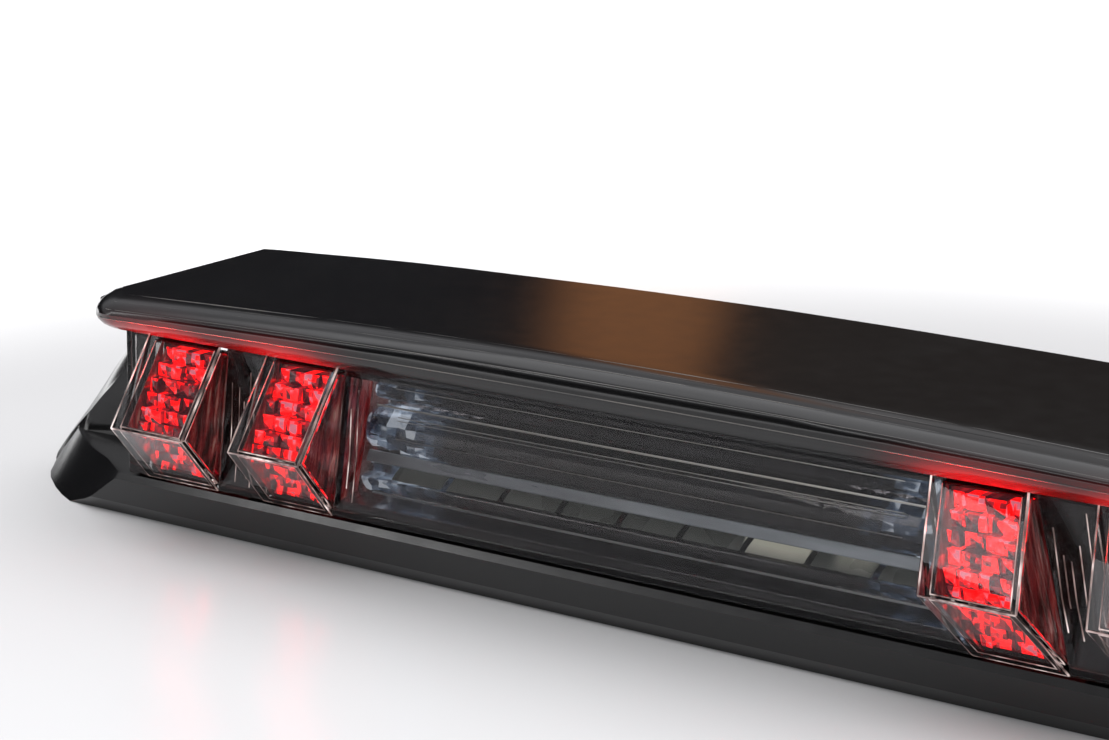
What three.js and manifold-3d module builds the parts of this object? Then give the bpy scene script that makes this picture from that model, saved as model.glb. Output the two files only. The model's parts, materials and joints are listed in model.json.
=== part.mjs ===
// Third brake light for the rear edge of a pickup cab roof, in millimetres, +Z up.
// The lenses face -Y, X runs along the lamp, and the lamp is mirror-symmetric about X = 0.
// Construction frame: y = 0 at the foremost edge of the lens boxes, z = 0 under the skirt.
// The whole assembly is then moved so that its origin is the bottom centre of its box.
import * as THREE from "three";
import { mergeVertices } from "three/addons/utils/BufferGeometryUtils.js";
import Module from "manifold-3d";

const wasm = await Module();
wasm.setup();

// ---------- driving dimensions ----------
const GAP = 0.3; // clearance between pieces that touch
const WALL = 2.6; // moulded wall of the housing
const FAR = 260; // longer than any piece, for cutting tools
const PAST = 1; // how far a cutting tool runs on past the surface it opens

// mounting plane: it starts at the foot and leans back as it rises
const FOOT_Y = 45;
const LEAN = Math.atan(0.69);

// outline of the housing on the mounting plane: half widths at heights z, foot to roof
const HALF_WIDTH = 225.5;
const TOP_MIDDLE_Z = 67.4;
const OUTLINE = [
  { x: 222, z: 0 },
  { x: HALF_WIDTH, z: 2.6 },
  { x: 224.6, z: 6.4 },
  { x: 222.8, z: 11 },
  { x: 221, z: 15.2 },
  { x: 218.8, z: 21.2 },
  { x: 214.8, z: 33 },
  { x: 207.2, z: 44 },
  { x: 196, z: 55.2 },
  { x: 185.4, z: 60.6 },
  { x: 172, z: 63.6 },
  { x: 150, z: 65.4 },
  { x: 100, z: 66.5 },
  { x: 0, z: TOP_MIDDLE_Z },
];
const OUTLINE_STEPS = 30;
const WELD = 1e-4; // vertices nearer than this are one

// hood: roof and visor
const CROWN = 3.6; // rise of the roof at the middle of the lamp
const CROWN_BASE_Z = 57; // the crown fades out below this height
const VISOR_HALF = 162; // half width of the crowned part and of the seat behind it
const VISOR_STRAIGHT = 158; // beyond it the visor's corner turns back
const VISOR_CORNER = 13; // radius of that corner in plan
const CORNER_STEPS = 7;
const CROWN_STEPS = 12;
const LIP_STEPS = 10;
const ROOF_FRONT = { y: 18, z: 65.2 };
const ROOF_BACK_Z = 64.4;
const LIP = [[3.5, 66.2], [0.6, 60.2], [8, 57.1]]; // control points of the visor's nose, (y, z)
const LIP_LOW_Z = 56.9;
const HOOD_LOW_Z = 40;
const CHEEK_TIP = new THREE.Vector3(170.6, 13, 64.4); // visor end, top
const CHEEK_BACK = new THREE.Vector3(182, 87, 61.6); // roof's rear corner
const CHEEK_LOW = new THREE.Vector3(209, 62, 46); // lowest corner of the cheek
const CHEEK_UNDER = { y: 17, z: 57 }; // front end of the cheek's underside
const CHEEK_FRONT = { x: 167.6, y: 8 }; // here the cheek's lower edge leaves the visor's round corner
const CHEEK_RUN = 12; // the cheek's lower edge reaches the lamp's end this far behind its corner

// skirt under the lens
const LEDGE_Z = 13;
const SKIRT_FRONT = { foot: 21.6, edge: 18.6, nose: 17.5 }; // y of its face at the middle of the lamp
const SKIRT_FACE_Z = 4; // the face stands upright above this height
const LEDGE_ROUND = 1.8; // height of the rounded edge of the ledge
const SKIRT_PLAN = [
  [150, -7],
  [187, 18],
  [194, 21.4],
  [201, 25],
  [208, 29.4],
  [217, 36.2],
  [223, 42],
  [HALF_WIDTH, 47],
];
const SKIRT_DRAW = 0.24; // how far the skirt's ends draw in for each millimetre of height

// lens: one moulding with a flat base and four wedge-shaped boxes
const LENS_WALL = 2.2;
const LENS_TOP = { y: 15, z: 56.4 };
const LENS_BOTTOM = { y: 18.6, z: 13.6 };
const LENS_END_TOP = 163.2;
const LENS_END_BOTTOM = 167.6;
const LENS_RETURN = 13; // depth of the wall around the lens
const LENS_SEAT = 4; // the opening of the housing starts this far behind the lens face
const END_WALL_Y = 26; // front edge of the housing's walls beside the lens
const BOX_FACE = { y: 12, z: 56.4 };
const KNEE_Z = 31.8;
const BOX_EDGES = { inner: [89.3, 113.7], outer: [129.6, 155.7] }; // |x| at the knee
const BOX_SHIFT_TOP = -4; // the box leans to the middle of the lamp at its top
const BOX_SHIFT_BOTTOM = 4.5; // and away from it at its bottom

const BOX_INSIDE = 2.7; // how far the inside of the knee lies behind its outside
const BEZEL = 1.4;
const BEZEL_BAR = 2; // bar of the bezel between neighbouring windows
const BEZEL_RIM = 1.2; // rim of the bezel over and under its windows

// brake modules behind the boxes
const STEP_ROWS = 6;
const STEP_COLUMNS = 3;
const STEP_LOW_Z = 17.8;
const STEP_HEIGHT = 5.75;
const STEP_BACK = 1.3; // depth by which neighbouring pixels differ
const STEP_LEVELS = 3;
const OPTIC_THINNEST = 4;
const OPTIC_CLEAR = 1; // air between the foremost pixel and the lens
const OPTIC_HALF = 8.4;
const OPTIC_BACK_Y = 29.8;
const CUP_HALF = 10.8;
const CUP_WALL = 1.3;
const CUP_LOW_Z = 16.1;
const CUP_HIGH_Z = 53.9;
const BOARD = 1.6;
const BOARD_FRONT_Y = 31.8;
const BOARD_BACK_Y = BOARD_FRONT_Y + BOARD;
const LED = { side: 3.2, height: 1.4, base: 0.8, dome: 1.28 };
const LED_SLOT = 3; // half width of the windows for the LEDs
const SLOT_END = 3; // wall left over and under those windows
const BRAKE_LED_Z = [22.5, 34, 45.5];

// cargo light between the modules
const CARGO_HALF = 90.2; // at the knee's height; the ends lean with the lens boxes
const CARGO_BOARD_HALF = 86;
const BARS = [
  { z: 49.1, r: 3.2, half: 83 },
  { z: 37.2, r: 7.7, half: 88 },
  { z: 24.4, r: 4.7, half: 89 },
];
const BAR_FRONT_Y = 22;
const BAR_BACK_Y = 29;
const WINDOW_PITCH = 20;
const GROOVE = { half: 0.6, depth: 2 }; // grooves between the windows of the lower bar
const CARGO_BACK_Y = BOARD_FRONT_Y - GAP;
const CARGO_LED_X = [-62, -37, -12, 12, 37, 62];

// rear
const SEAT_WIDTH = 13; // flat seat for the gasket around the back
const LEDGE = 7; // ledge inside it that carries the rear cover
const COVER_HALF = 154;
const JOINED = 0.1; // overlap of bodies that are joined into one
const COVER_W = 0.1;
const COVER_PLATE = 2.2;
const COVER_SCREW = { x: 118, head: 2.8, rise: 1.8, shank: 1.4, tip: 8 };
const COVER_SCREW_DROP = 1.1; // the upper screws stand this far under the middle of the ledge
const CROSS = { half: 2, width: 0.9, depth: 0.8 }; // cross recess of the cover screws
const POST = { r: 3, length: 40, z: 34, upperX: 52, upperZ: 46 }; // posts behind the boards
const GASKET = 3.4;
const GASKET_WIDTH = 8;
const GASKET_INSET = 5;
const SOCKET = { x: 0, z: 33, width: 26, height: 15, wall: 1.8, reach: 14, floor: 1.4 };
const SOCKET_FLANGE = { margin: 2.5, thick: 1.8 };
const KEY = { z: 6.8, width: 6, height: 2.4, from: 3.2 }; // rib that lets the plug in one way round
const PIN = { side: 1.5, pitch: 5, out: 6, inside: 7 };
const VENT = { x: -66, z: 33, head: 5, cap: 2.4, stem: 2.4, inside: 5 };
const DRIVER = { x: 76.5, z: 33, reach: 15, rise: 7, end: 4, height: 24, w: 5, post: 2 };
const DRIVER_PARTS = [
  { x: -11, z: 0, width: 8, height: 12, rise: 6 },
  { x: -1, z: 4, width: 6, height: 6, rise: 4 },
  { x: 0, z: -4, width: 8, height: 6, rise: 2.4 },
  { x: 11, z: 0, width: 6, height: 14, rise: 5 },
];

// wings
const WING_FROM = 150; // |x| where the plates of the wings begin
const RECESS = { x: 181.5, z: 17.8, r: 10.3 };
const SCREW_HOLE_R = 3.3;
const POCKET_W = 8; // the wing's front face stands this far in front of the mounting plane
const EDGE_INSET = 14; // how far the wing's edge draws in by that face
const EDGE_STEPS = 6;
const EDGE_BEND = 0.25; // 0: the edge draws in evenly, 1: all of it near the face
const RECESS_REACH = 30; // the recess is cut this far in front of the wing's face
const WASHER_R = 8.6;
const WASHER = 1.6;
const SCREW = { head: 6, rise: 4.6, socket: 3.2, floor: 1.4, shank: 3, reach: 16 };

// numbers of sides of the round pieces
const SIDES = { recess: 36, head: 28, bore: 24, cap: 24, screwHead: 20, post: 16, fine: 12, hexagon: 6 };
const BALL = { around: 20, down: 14 };

// ---------- geometry helpers ----------

// A closed three.js geometry as a manifold solid.
function solid(geometry) {
  const bare = geometry.index ? geometry.toNonIndexed() : geometry.clone();
  bare.deleteAttribute("normal");
  bare.deleteAttribute("uv");
  const merged = mergeVertices(bare, WELD);
  return new wasm.Manifold(
    new wasm.Mesh({
      numProp: 3,
      vertProperties: new Float32Array(merged.attributes.position.array),
      triVerts: new Uint32Array(merged.index.array),
    }),
  );
}

// A manifold solid as a geometry for a mesh.
function geometryOf(body) {
  const mesh = body.getMesh();
  const points = new Float32Array(mesh.numVert * 3);
  for (let i = 0; i < mesh.numVert; i++) {
    points.set(mesh.vertProperties.subarray(i * mesh.numProp, i * mesh.numProp + 3), i * 3);
  }
  const geometry = new THREE.BufferGeometry();
  geometry.setAttribute("position", new THREE.BufferAttribute(points, 3));
  geometry.setIndex(new THREE.BufferAttribute(new Uint32Array(mesh.triVerts), 1));
  geometry.computeVertexNormals();
  return geometry;
}

const join = (...bodies) => bodies.reduce((a, b) => a.add(b));
const cut = (body, ...tools) => tools.reduce((a, b) => a.subtract(b), body);
const common = (...bodies) => bodies.reduce((a, b) => a.intersect(b));

function shapeOf(points) {
  return new THREE.Shape(points.map(([a, b]) => new THREE.Vector2(a, b)));
}

function prism(shape, depth, steps = 1, curveSegments = 10) {
  return new THREE.ExtrudeGeometry(shape, { depth, steps, curveSegments, bevelEnabled: false });
}

// Moves every vertex by a function of its place.
function warp(geometry, move) {
  const positions = geometry.attributes.position;
  const p = new THREE.Vector3();
  for (let i = 0; i < positions.count; i++) {
    p.fromBufferAttribute(positions, i);
    move(p);
    positions.setXYZ(i, p.x, p.y, p.z);
  }
  return geometry;
}

// A (y, z) outline run along X from x0 to x1.
function alongX(outline, x0, x1, steps = 1) {
  const shape = outline instanceof THREE.Shape ? outline : shapeOf(outline);
  const frame = new THREE.Matrix4().makeBasis(
    new THREE.Vector3(0, 1, 0),
    new THREE.Vector3(0, 0, 1),
    new THREE.Vector3(1, 0, 0),
  );
  return prism(shape, x1 - x0, steps).applyMatrix4(frame).translate(x0, 0, 0);
}

// An (x, z) outline run along Y from y0 to y1.
function alongY(outline, y0, y1) {
  const frame = new THREE.Matrix4().makeBasis(
    new THREE.Vector3(1, 0, 0),
    new THREE.Vector3(0, 0, 1),
    new THREE.Vector3(0, -1, 0),
  );
  return prism(shapeOf(outline), y1 - y0).applyMatrix4(frame).translate(0, y1, 0);
}

// An (x, y) outline run along Z from z0 to z1.
function alongZ(outline, z0, z1) {
  return prism(shapeOf(outline), z1 - z0).translate(0, 0, z0);
}

// Frame on the mounting plane: u along X, v up the plane, w forward, square to the plane.
const MOUNT_FRAME = new THREE.Matrix4()
  .makeBasis(
    new THREE.Vector3(1, 0, 0),
    new THREE.Vector3(0, Math.sin(LEAN), Math.cos(LEAN)),
    new THREE.Vector3(0, -Math.cos(LEAN), Math.sin(LEAN)),
  )
  .setPosition(0, FOOT_Y, 0);
const vOf = (z) => z / Math.cos(LEAN);
const mountY = (z) => FOOT_Y + z * Math.tan(LEAN);

// A (u, v) shape on the mounting plane, from w0 to w1 in front of it.
function alongMount(shape, w0, w1) {
  return prism(shape, w1 - w0).translate(0, 0, w0).applyMatrix4(MOUNT_FRAME);
}

// A round bar square to the mounting plane.
function mountCylinder(x, z, r, w0, w1, sides = SIDES.bore) {
  return new THREE.CylinderGeometry(r, r, w1 - w0, sides)
    .rotateX(Math.PI / 2)
    .translate(x, vOf(z), (w0 + w1) / 2)
    .applyMatrix4(MOUNT_FRAME);
}

function box(x0, x1, y0, y1, z0, z1) {
  return new THREE.BoxGeometry(x1 - x0, y1 - y0, z1 - z0).translate(
    (x0 + x1) / 2,
    (y0 + y1) / 2,
    (z0 + z1) / 2,
  );
}

// The space on the far side of a plane through three points, counter-clockwise seen from there.
function beyond(a, b, c) {
  const normal = b.clone().sub(a).cross(c.clone().sub(a)).normalize();
  const turn = new THREE.Quaternion().setFromUnitVectors(new THREE.Vector3(0, 0, 1), normal);
  return new THREE.BoxGeometry(4 * FAR, 4 * FAR, FAR)
    .translate(0, 0, FAR / 2)
    .applyQuaternion(turn)
    .translate(a.x, a.y, a.z);
}

// The same body on both ends of the lamp.
function bothEnds(body) {
  return body.add(body.mirror([1, 0, 0]));
}

// ---------- shared outlines ----------

// A point of the mounting plane drawn in towards the middle of the outline by an inset.
function drawIn(u, v, inset) {
  const top = vOf(TOP_MIDDLE_Z);
  return [(u * (HALF_WIDTH - inset)) / HALF_WIDTH, inset + (v * (top - 2 * inset)) / top];
}

// Outline of the housing on the mounting plane, drawn in by an inset; its foot may run on down.
function outlineShape(inset = 0, runOn = 0) {
  const curve = new THREE.SplineCurve(OUTLINE.map(({ x, z }) => new THREE.Vector2(x, vOf(z))));
  const half = curve.getPoints(OUTLINE_STEPS).map((p) => drawIn(Math.min(p.x, HALF_WIDTH), p.y, inset));
  const foot = runOn > 0 ? [[half[0][0], inset - runOn]] : [];
  const right = [...foot, ...half];
  const left = right.slice(0, -1).reverse().map(([u, v]) => [-u, v]);
  return shapeOf([...right, ...left]);
}

// Rise of the roof: highest at the middle, none at the visor's ends and below the lens top.
function crown(p) {
  const along = Math.max(0, 1 - (p.x / VISOR_HALF) ** 2);
  const upward = THREE.MathUtils.clamp((p.z - CROWN_BASE_Z) / (ROOF_BACK_Z - CROWN_BASE_Z), 0, 1);
  p.z += CROWN * along * upward;
}

// Trapezoid in (x, z) that the lens fills, grown by a margin.
function lensTrapezoid(margin, z0 = LENS_BOTTOM.z, z1 = LENS_TOP.z) {
  const slope = (LENS_END_BOTTOM - LENS_END_TOP) / (LENS_TOP.z - LENS_BOTTOM.z);
  const half = (z) => LENS_END_TOP + slope * (LENS_TOP.z - z) + margin;
  return [
    [-half(z0), z0],
    [half(z0), z0],
    [half(z1), z1],
    [-half(z1), z1],
  ];
}

// Front plane of the lens base at a height.
function lensY(z) {
  const t = (LENS_TOP.z - z) / (LENS_TOP.z - LENS_BOTTOM.z);
  return THREE.MathUtils.lerp(LENS_TOP.y, LENS_BOTTOM.y, t);
}

// Sideways lean of a lens box at a height, away from the middle of the lamp.
function boxShift(z) {
  if (z > KNEE_Z) {
    return (BOX_SHIFT_TOP * (z - KNEE_Z)) / (BOX_FACE.z - KNEE_Z);
  }
  return (BOX_SHIFT_BOTTOM * (KNEE_Z - z)) / (KNEE_Z - LENS_BOTTOM.z);
}

// ---------- housing ----------

function roofOutline(drop) {
  const front = ROOF_FRONT.y + drop;
  const lip = new THREE.CubicBezierCurve(
    new THREE.Vector2(ROOF_FRONT.y, ROOF_FRONT.z),
    ...LIP.map(([y, z]) => new THREE.Vector2(y, z)),
  );
  const nose = lip.getPoints(LIP_STEPS).map((p) => [p.x, p.y]);
  const edge = drop
    ? [[front, ROOF_FRONT.z - drop], [front, HOOD_LOW_Z]]
    : [...nose, [ROOF_FRONT.y, LIP_LOW_Z], [ROOF_FRONT.y, HOOD_LOW_Z]];
  const back = ROOF_BACK_Z - drop;
  return [[mountY(back) + FAR / 8, back], ...edge, [mountY(HOOD_LOW_Z) + FAR / 8, HOOD_LOW_Z]];
}

// Places along the roof where its outline stands: close together at the visor's corners.
function roofStations() {
  const middle = Array.from({ length: CROWN_STEPS }, (_, k) => (VISOR_STRAIGHT * k) / CROWN_STEPS);
  const corner = Array.from({ length: CORNER_STEPS + 1 }, (_, k) => {
    const turn = (k * Math.PI) / (2 * CORNER_STEPS);
    return VISOR_STRAIGHT + VISOR_CORNER * Math.sin(turn);
  });
  const right = [...middle, ...corner, FAR];
  return [...right.slice(1).reverse().map((x) => -x), ...right];
}

// How far the visor's front has turned back at a place along the lamp.
function cornerBack(x) {
  const over = THREE.MathUtils.clamp(Math.abs(x) - VISOR_STRAIGHT, 0, VISOR_CORNER);
  return VISOR_CORNER - Math.sqrt(VISOR_CORNER ** 2 - over ** 2);
}

// Everything under the roof's outer surface, or under its inner one where drop is the wall.
function underRoof(drop) {
  const stations = roofStations();
  const last = stations.length - 1;
  const geometry = warp(alongX(roofOutline(drop), 0, last, last), (p) => {
    p.x = stations[Math.round(p.x)];
    p.y += cornerBack(p.x);
    crown(p);
  });
  const tip = CHEEK_TIP.clone();
  const back = CHEEK_BACK.clone();
  const low = CHEEK_LOW.clone();
  for (const corner of [tip, back, low]) {
    corner.z -= drop;
  }
  return cut(solid(geometry), bothEnds(solid(beyond(tip, low, back))));
}

function hood() {
  const plan = [
    [-CHEEK_FRONT.x, 0],
    [CHEEK_FRONT.x, 0],
    [CHEEK_FRONT.x, CHEEK_FRONT.y],
    [CHEEK_LOW.x, CHEEK_LOW.y],
    [HALF_WIDTH, CHEEK_LOW.y + CHEEK_RUN],
    [HALF_WIDTH, FAR],
    [-HALF_WIDTH, FAR],
    [-HALF_WIDTH, CHEEK_LOW.y + CHEEK_RUN],
    [-CHEEK_LOW.x, CHEEK_LOW.y],
    [-CHEEK_FRONT.x, CHEEK_FRONT.y],
  ];
  return common(underRoof(0), solid(alongZ(plan, HOOD_LOW_Z, FAR / 2)));
}

function skirt() {
  const band = [
    [SKIRT_FRONT.foot, 0],
    [FAR / 4, 0],
    [FAR / 4, LEDGE_Z],
    [SKIRT_FRONT.edge, LEDGE_Z],
    [SKIRT_FRONT.nose, LEDGE_Z - LEDGE_ROUND],
    [SKIRT_FRONT.edge, SKIRT_FACE_Z],
  ];
  const right = [...SKIRT_PLAN, [HALF_WIDTH, FAR / 4]];
  const left = [...right].reverse().map(([x, y]) => [-x, y]);
  const block = warp(alongZ([...right, ...left], -PAST, LEDGE_Z + PAST), (p) => {
    p.x -= Math.sign(p.x) * p.z * SKIRT_DRAW;
    p.y += p.z * Math.tan(LEAN);
  });
  return common(solid(alongX(band, -FAR, FAR)), solid(block));
}

function endWalls() {
  const outline = lensTrapezoid(GAP + WALL, LEDGE_Z - 2 * PAST, CROWN_BASE_Z + 2 * PAST);
  const outer = alongY(outline, END_WALL_Y, FAR / 2);
  const inner = alongY(lensTrapezoid(GAP, -PAST, FAR / 2), 0, FAR);
  return cut(solid(outer), solid(inner));
}

// What is left open inside the middle of the housing, and in front of it for the lens.
function middleHollow() {
  const seatY = lensY(LENS_BOTTOM.z) + LENS_SEAT;
  const trapezoid = solid(alongY(lensTrapezoid(GAP, WALL, FAR / 3), seatY, FAR));
  const mouth = solid(alongY(lensTrapezoid(GAP, LEDGE_Z, LIP_LOW_Z - GAP / 3), -FAR, FAR / 4));
  const ceiling = join(underRoof(WALL), solid(box(-FAR, FAR, -FAR, FAR, -FAR, HOOD_LOW_Z + PAST)));
  const wide = lensTrapezoid(GAP + WALL + PAST, LEDGE_Z, LIP_LOW_Z - GAP / 3);
  const besideLens = common(solid(alongY(wide, -FAR, END_WALL_Y)), underCheek());
  return join(common(trapezoid, ceiling), mouth, besideLens);
}

// The wing's plate: its edge draws in, faster and faster, up to its front face.
function wingPlate() {
  const plate = warp(prism(outlineShape(), POCKET_W, EDGE_STEPS), (p) => {
    const t = p.z / POCKET_W;
    [p.x, p.y] = drawIn(p.x, p.y, EDGE_INSET * THREE.MathUtils.lerp(t, t * t, EDGE_BEND));
  });
  return solid(plate.applyMatrix4(MOUNT_FRAME));
}

// Below the underside of the cheek, or that far above it where lift is given.
function underCheek(lift = 0) {
  const slope = (CHEEK_UNDER.z - CHEEK_LOW.z) / (CHEEK_UNDER.y - CHEEK_LOW.y);
  const at = (y) => CHEEK_UNDER.z + slope * (y - CHEEK_UNDER.y) + lift;
  return solid(alongX([[-FAR, -FAR], [FAR, -FAR], [FAR, at(FAR)], [-FAR, at(-FAR)]], -FAR, FAR));
}

// The open pocket at one end: in front of the wing's wall, under the cheek, over the skirt.
function pocket() {
  const inFront = solid(alongMount(outlineShape(-FAR / 8), POCKET_W, FAR));
  const outward = lensTrapezoid(GAP + WALL, LEDGE_Z, FAR / 3);
  const end = solid(
    alongY([outward[1], [FAR, LEDGE_Z], [FAR, FAR / 3], outward[2]], -FAR / 2, FAR),
  );
  const noseBack = ROOF_FRONT.y + WALL + VISOR_CORNER + PAST;
  const ceiling = join(
    underRoof(WALL),
    solid(box(0, FAR, -FAR, FAR, -FAR, HOOD_LOW_Z + PAST)),
    solid(box(0, FAR, -FAR, noseBack, -FAR, LIP_LOW_Z)),
  );
  return common(inFront, end, ceiling, underCheek());
}

// Hollows behind the wing's wall and inside the cheek, open to the back.
function wingHollow() {
  const inner = outlineShape(GASKET_WIDTH + GASKET_INSET);
  const cheek = cut(common(solid(alongMount(inner, -PAST, FAR)), underRoof(WALL)), underCheek(WALL));
  const behind = join(solid(alongMount(inner, -PAST, POCKET_W - WALL)), cheek);
  const outward = lensTrapezoid(GAP + WALL, WALL, FAR / 3);
  const end = solid(alongY([outward[1], [FAR, WALL], [FAR, FAR / 3], outward[2]], 0, FAR));
  const boss = solid(mountCylinder(RECESS.x, RECESS.z, RECESS.r + WALL, -2 * PAST, POCKET_W));
  return cut(common(behind, end), boss);
}

function screwRecess() {
  return join(
    solid(mountCylinder(RECESS.x, RECESS.z, RECESS.r, WALL, POCKET_W + RECESS_REACH, SIDES.recess)),
    solid(mountCylinder(RECESS.x, RECESS.z, SCREW_HOLE_R, -PAST, POCKET_W)),
  );
}

// Middle part of a shape on the mounting plane.
function middle(body, half) {
  return common(body, solid(box(-half, half, -FAR, FAR, -FAR, FAR)));
}

// Seat of the gasket around the back, with the ledge that the rear cover lies on.
function rearFlange() {
  const roof = join(underRoof(0), solid(box(-FAR, FAR, -FAR, FAR, 0, HOOD_LOW_Z + PAST)));
  const seat = middle(solid(alongMount(outlineShape(), 0, WALL)), VISOR_HALF);
  const opening = middle(solid(alongMount(outlineShape(SEAT_WIDTH), -PAST, FAR)), COVER_HALF + GAP);
  const back = solid(alongMount(outlineShape(SEAT_WIDTH - WALL), WALL - JOINED, 2 * WALL));
  const hole = middle(solid(alongMount(outlineShape(SEAT_WIDTH + LEDGE), -PAST, FAR)), COVER_HALF - LEDGE);
  const ledge = cut(middle(back, COVER_HALF + WALL), hole);
  return common(join(cut(seat, opening), ledge), roof);
}

function housingShell() {
  const roof = join(underRoof(0), solid(box(-FAR, FAR, -FAR, FAR, 0, HOOD_LOW_Z + PAST)));
  const plate = common(wingPlate(), roof);
  const wings = common(plate, bothEnds(solid(box(WING_FROM, FAR, -FAR, FAR, -FAR, FAR))));
  const raw = join(hood(), skirt(), endWalls(), wings);
  const trimmed = common(raw, solid(alongMount(outlineShape(0, FAR / 2), 0, FAR / 1.5)));
  const hollowed = cut(trimmed, middleHollow());
  const shell = cut(join(hollowed, rearFlange()), bothEnds(pocket()), bothEnds(wingHollow()));
  const screws = coverScrewPlaces().map(([x, z]) =>
    solid(mountCylinder(x, z, COVER_SCREW.shank + GAP, -PAST, 3 * WALL, SIDES.fine)),
  );
  return cut(shell, bothEnds(screwRecess()), ...screws);
}

// ---------- rear cover, gasket, connector ----------

function coverScrewPlaces() {
  const low = (SEAT_WIDTH + LEDGE / 2) * Math.cos(LEAN);
  const high = TOP_MIDDLE_Z - COVER_SCREW_DROP - low;
  return [
    [-COVER_SCREW.x, low],
    [COVER_SCREW.x, low],
    [-COVER_SCREW.x, high],
    [COVER_SCREW.x, high],
  ];
}

// A block on the mounting plane about a middle at x, z.
function mountBox(x, z, width, height, w0, w1) {
  const v = vOf(z);
  return alongMount(
    shapeOf([
      [x - width / 2, v - height / 2],
      [x + width / 2, v - height / 2],
      [x + width / 2, v + height / 2],
      [x - width / 2, v + height / 2],
    ]),
    w0,
    w1,
  );
}

// Posts from the cover to the backs of the boards.
function boardPosts() {
  const inside = solid(mountBox(0, 0, 2 * FAR, 2 * FAR, COVER_W, FAR));
  const modules = moduleMiddles().map((x) => [x, POST.z]);
  const places = [...modules, [-POST.upperX, POST.upperZ], [POST.upperX, POST.upperZ]];
  const middleY = BOARD_BACK_Y + 2 * GAP + POST.length / 2;
  const posts = places.map(([x, z]) =>
    solid(new THREE.CylinderGeometry(POST.r, POST.r, POST.length, SIDES.post).translate(x, middleY, z)),
  );
  return common(join(...posts), inside);
}

function rearCover() {
  const outline = solid(alongMount(outlineShape(SEAT_WIDTH + GAP), COVER_W, COVER_W + COVER_PLATE));
  const plate = middle(outline, COVER_HALF);
  const standoffs = [-1, 1].flatMap((i) =>
    [-1, 1].map((j) => {
      const x = DRIVER.x + i * DRIVER.reach;
      const z = DRIVER.z + j * DRIVER.rise;
      return solid(mountCylinder(x, z, DRIVER.post, COVER_PLATE / 2, DRIVER.w - GAP, SIDES.fine));
    }),
  );
  const holes = coverScrewPlaces().map(([x, z]) =>
    solid(mountCylinder(x, z, COVER_SCREW.shank + GAP, -PAST, WALL + PAST, SIDES.fine)),
  );
  const socketHole = solid(
    mountBox(SOCKET.x, SOCKET.z, SOCKET.width + 2 * GAP, SOCKET.height + 2 * GAP, -PAST, WALL + PAST),
  );
  const ventHole = solid(mountCylinder(VENT.x, VENT.z, VENT.stem + GAP, -PAST, WALL + PAST, SIDES.post));
  return cut(join(plate, boardPosts(), ...standoffs), ...holes, socketHole, ventHole);
}

function perimeterGasket() {
  const w1 = -GAP;
  const w0 = w1 - GASKET;
  const outer = solid(alongMount(outlineShape(GASKET_INSET), w0, w1));
  return cut(outer, solid(alongMount(outlineShape(GASKET_INSET + GASKET_WIDTH), w0 - PAST, w1 + PAST)));
}

function connectorSocket() {
  const { x, z, width, height } = SOCKET;
  const flangeW = COVER_W + COVER_PLATE + GAP;
  const shroud = solid(mountBox(x, z, width, height, -SOCKET.reach, flangeW + PAST));
  const flangeSize = [width + 2 * SOCKET_FLANGE.margin, height + 2 * SOCKET_FLANGE.margin];
  const flange = solid(mountBox(x, z, ...flangeSize, flangeW, flangeW + SOCKET_FLANGE.thick));
  const key = solid(mountBox(x, z + KEY.z, KEY.width, KEY.height, -SOCKET.reach, -KEY.from));
  const inside = { width: width - 2 * SOCKET.wall, height: height - 2 * SOCKET.wall };
  const outer = -SOCKET.reach - PAST;
  const cavity = solid(mountBox(x, z, inside.width, inside.height, outer, -SOCKET.floor));
  const hole = PIN.side + 2 * GAP;
  const holes = pinPlaces().map((px) =>
    solid(mountBox(px, z, hole, hole, -SOCKET.floor - PAST, flangeW + SOCKET_FLANGE.thick + PAST)),
  );
  return cut(join(shroud, flange, key), cavity, ...holes);
}

function pinPlaces() {
  return [-1.5, -0.5, 0.5, 1.5].map((i) => SOCKET.x + i * PIN.pitch);
}

function ventPlug() {
  const head = solid(mountCylinder(VENT.x, VENT.z, VENT.head, -VENT.cap, COVER_W - GAP, SIDES.cap));
  return head.add(solid(mountCylinder(VENT.x, VENT.z, VENT.stem, -PAST, VENT.inside, SIDES.post)));
}

function driverBoard() {
  const { x, z, w } = DRIVER;
  const width = 2 * (DRIVER.reach + DRIVER.end);
  const board = solid(mountBox(x, z, width, DRIVER.height, w, w + BOARD));
  const parts = DRIVER_PARTS.map((part) => {
    const top = w + BOARD + part.rise;
    return solid(mountBox(x + part.x, z + part.z, part.width, part.height, w + BOARD / 2, top));
  });
  return join(board, ...parts);
}

function coverScrew(x, z) {
  const headW = COVER_W - GAP;
  const outer = headW - COVER_SCREW.rise;
  const floor = outer + CROSS.depth;
  const head = solid(mountCylinder(x, z, COVER_SCREW.head, outer, headW, SIDES.screwHead));
  const slot = solid(mountBox(x, z, 2 * CROSS.half, CROSS.width, outer - PAST, floor));
  const cross = solid(mountBox(x, z, CROSS.width, 2 * CROSS.half, outer - PAST, floor));
  const shank = solid(mountCylinder(x, z, COVER_SCREW.shank, headW - JOINED, COVER_SCREW.tip, SIDES.fine));
  return cut(join(head, shank), slot, cross);
}

// ---------- lens and bezel ----------

function wedge(edges, side, outline) {
  const [x0, x1] = side > 0 ? edges : [-edges[1], -edges[0]];
  return solid(
    warp(alongX(outline, x0, x1), (p) => {
      p.x += side * boxShift(p.z);
    }),
  );
}

// Leans both ends of a piece across the middle of the lamp with the lens boxes.
function leaning(geometry) {
  return warp(geometry, (p) => {
    p.x += Math.sign(p.x) * boxShift(p.z);
  });
}

function eachBox(make) {
  return [1, -1].flatMap((side) => Object.values(BOX_EDGES).map((edges) => make(edges, side)));
}

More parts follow.
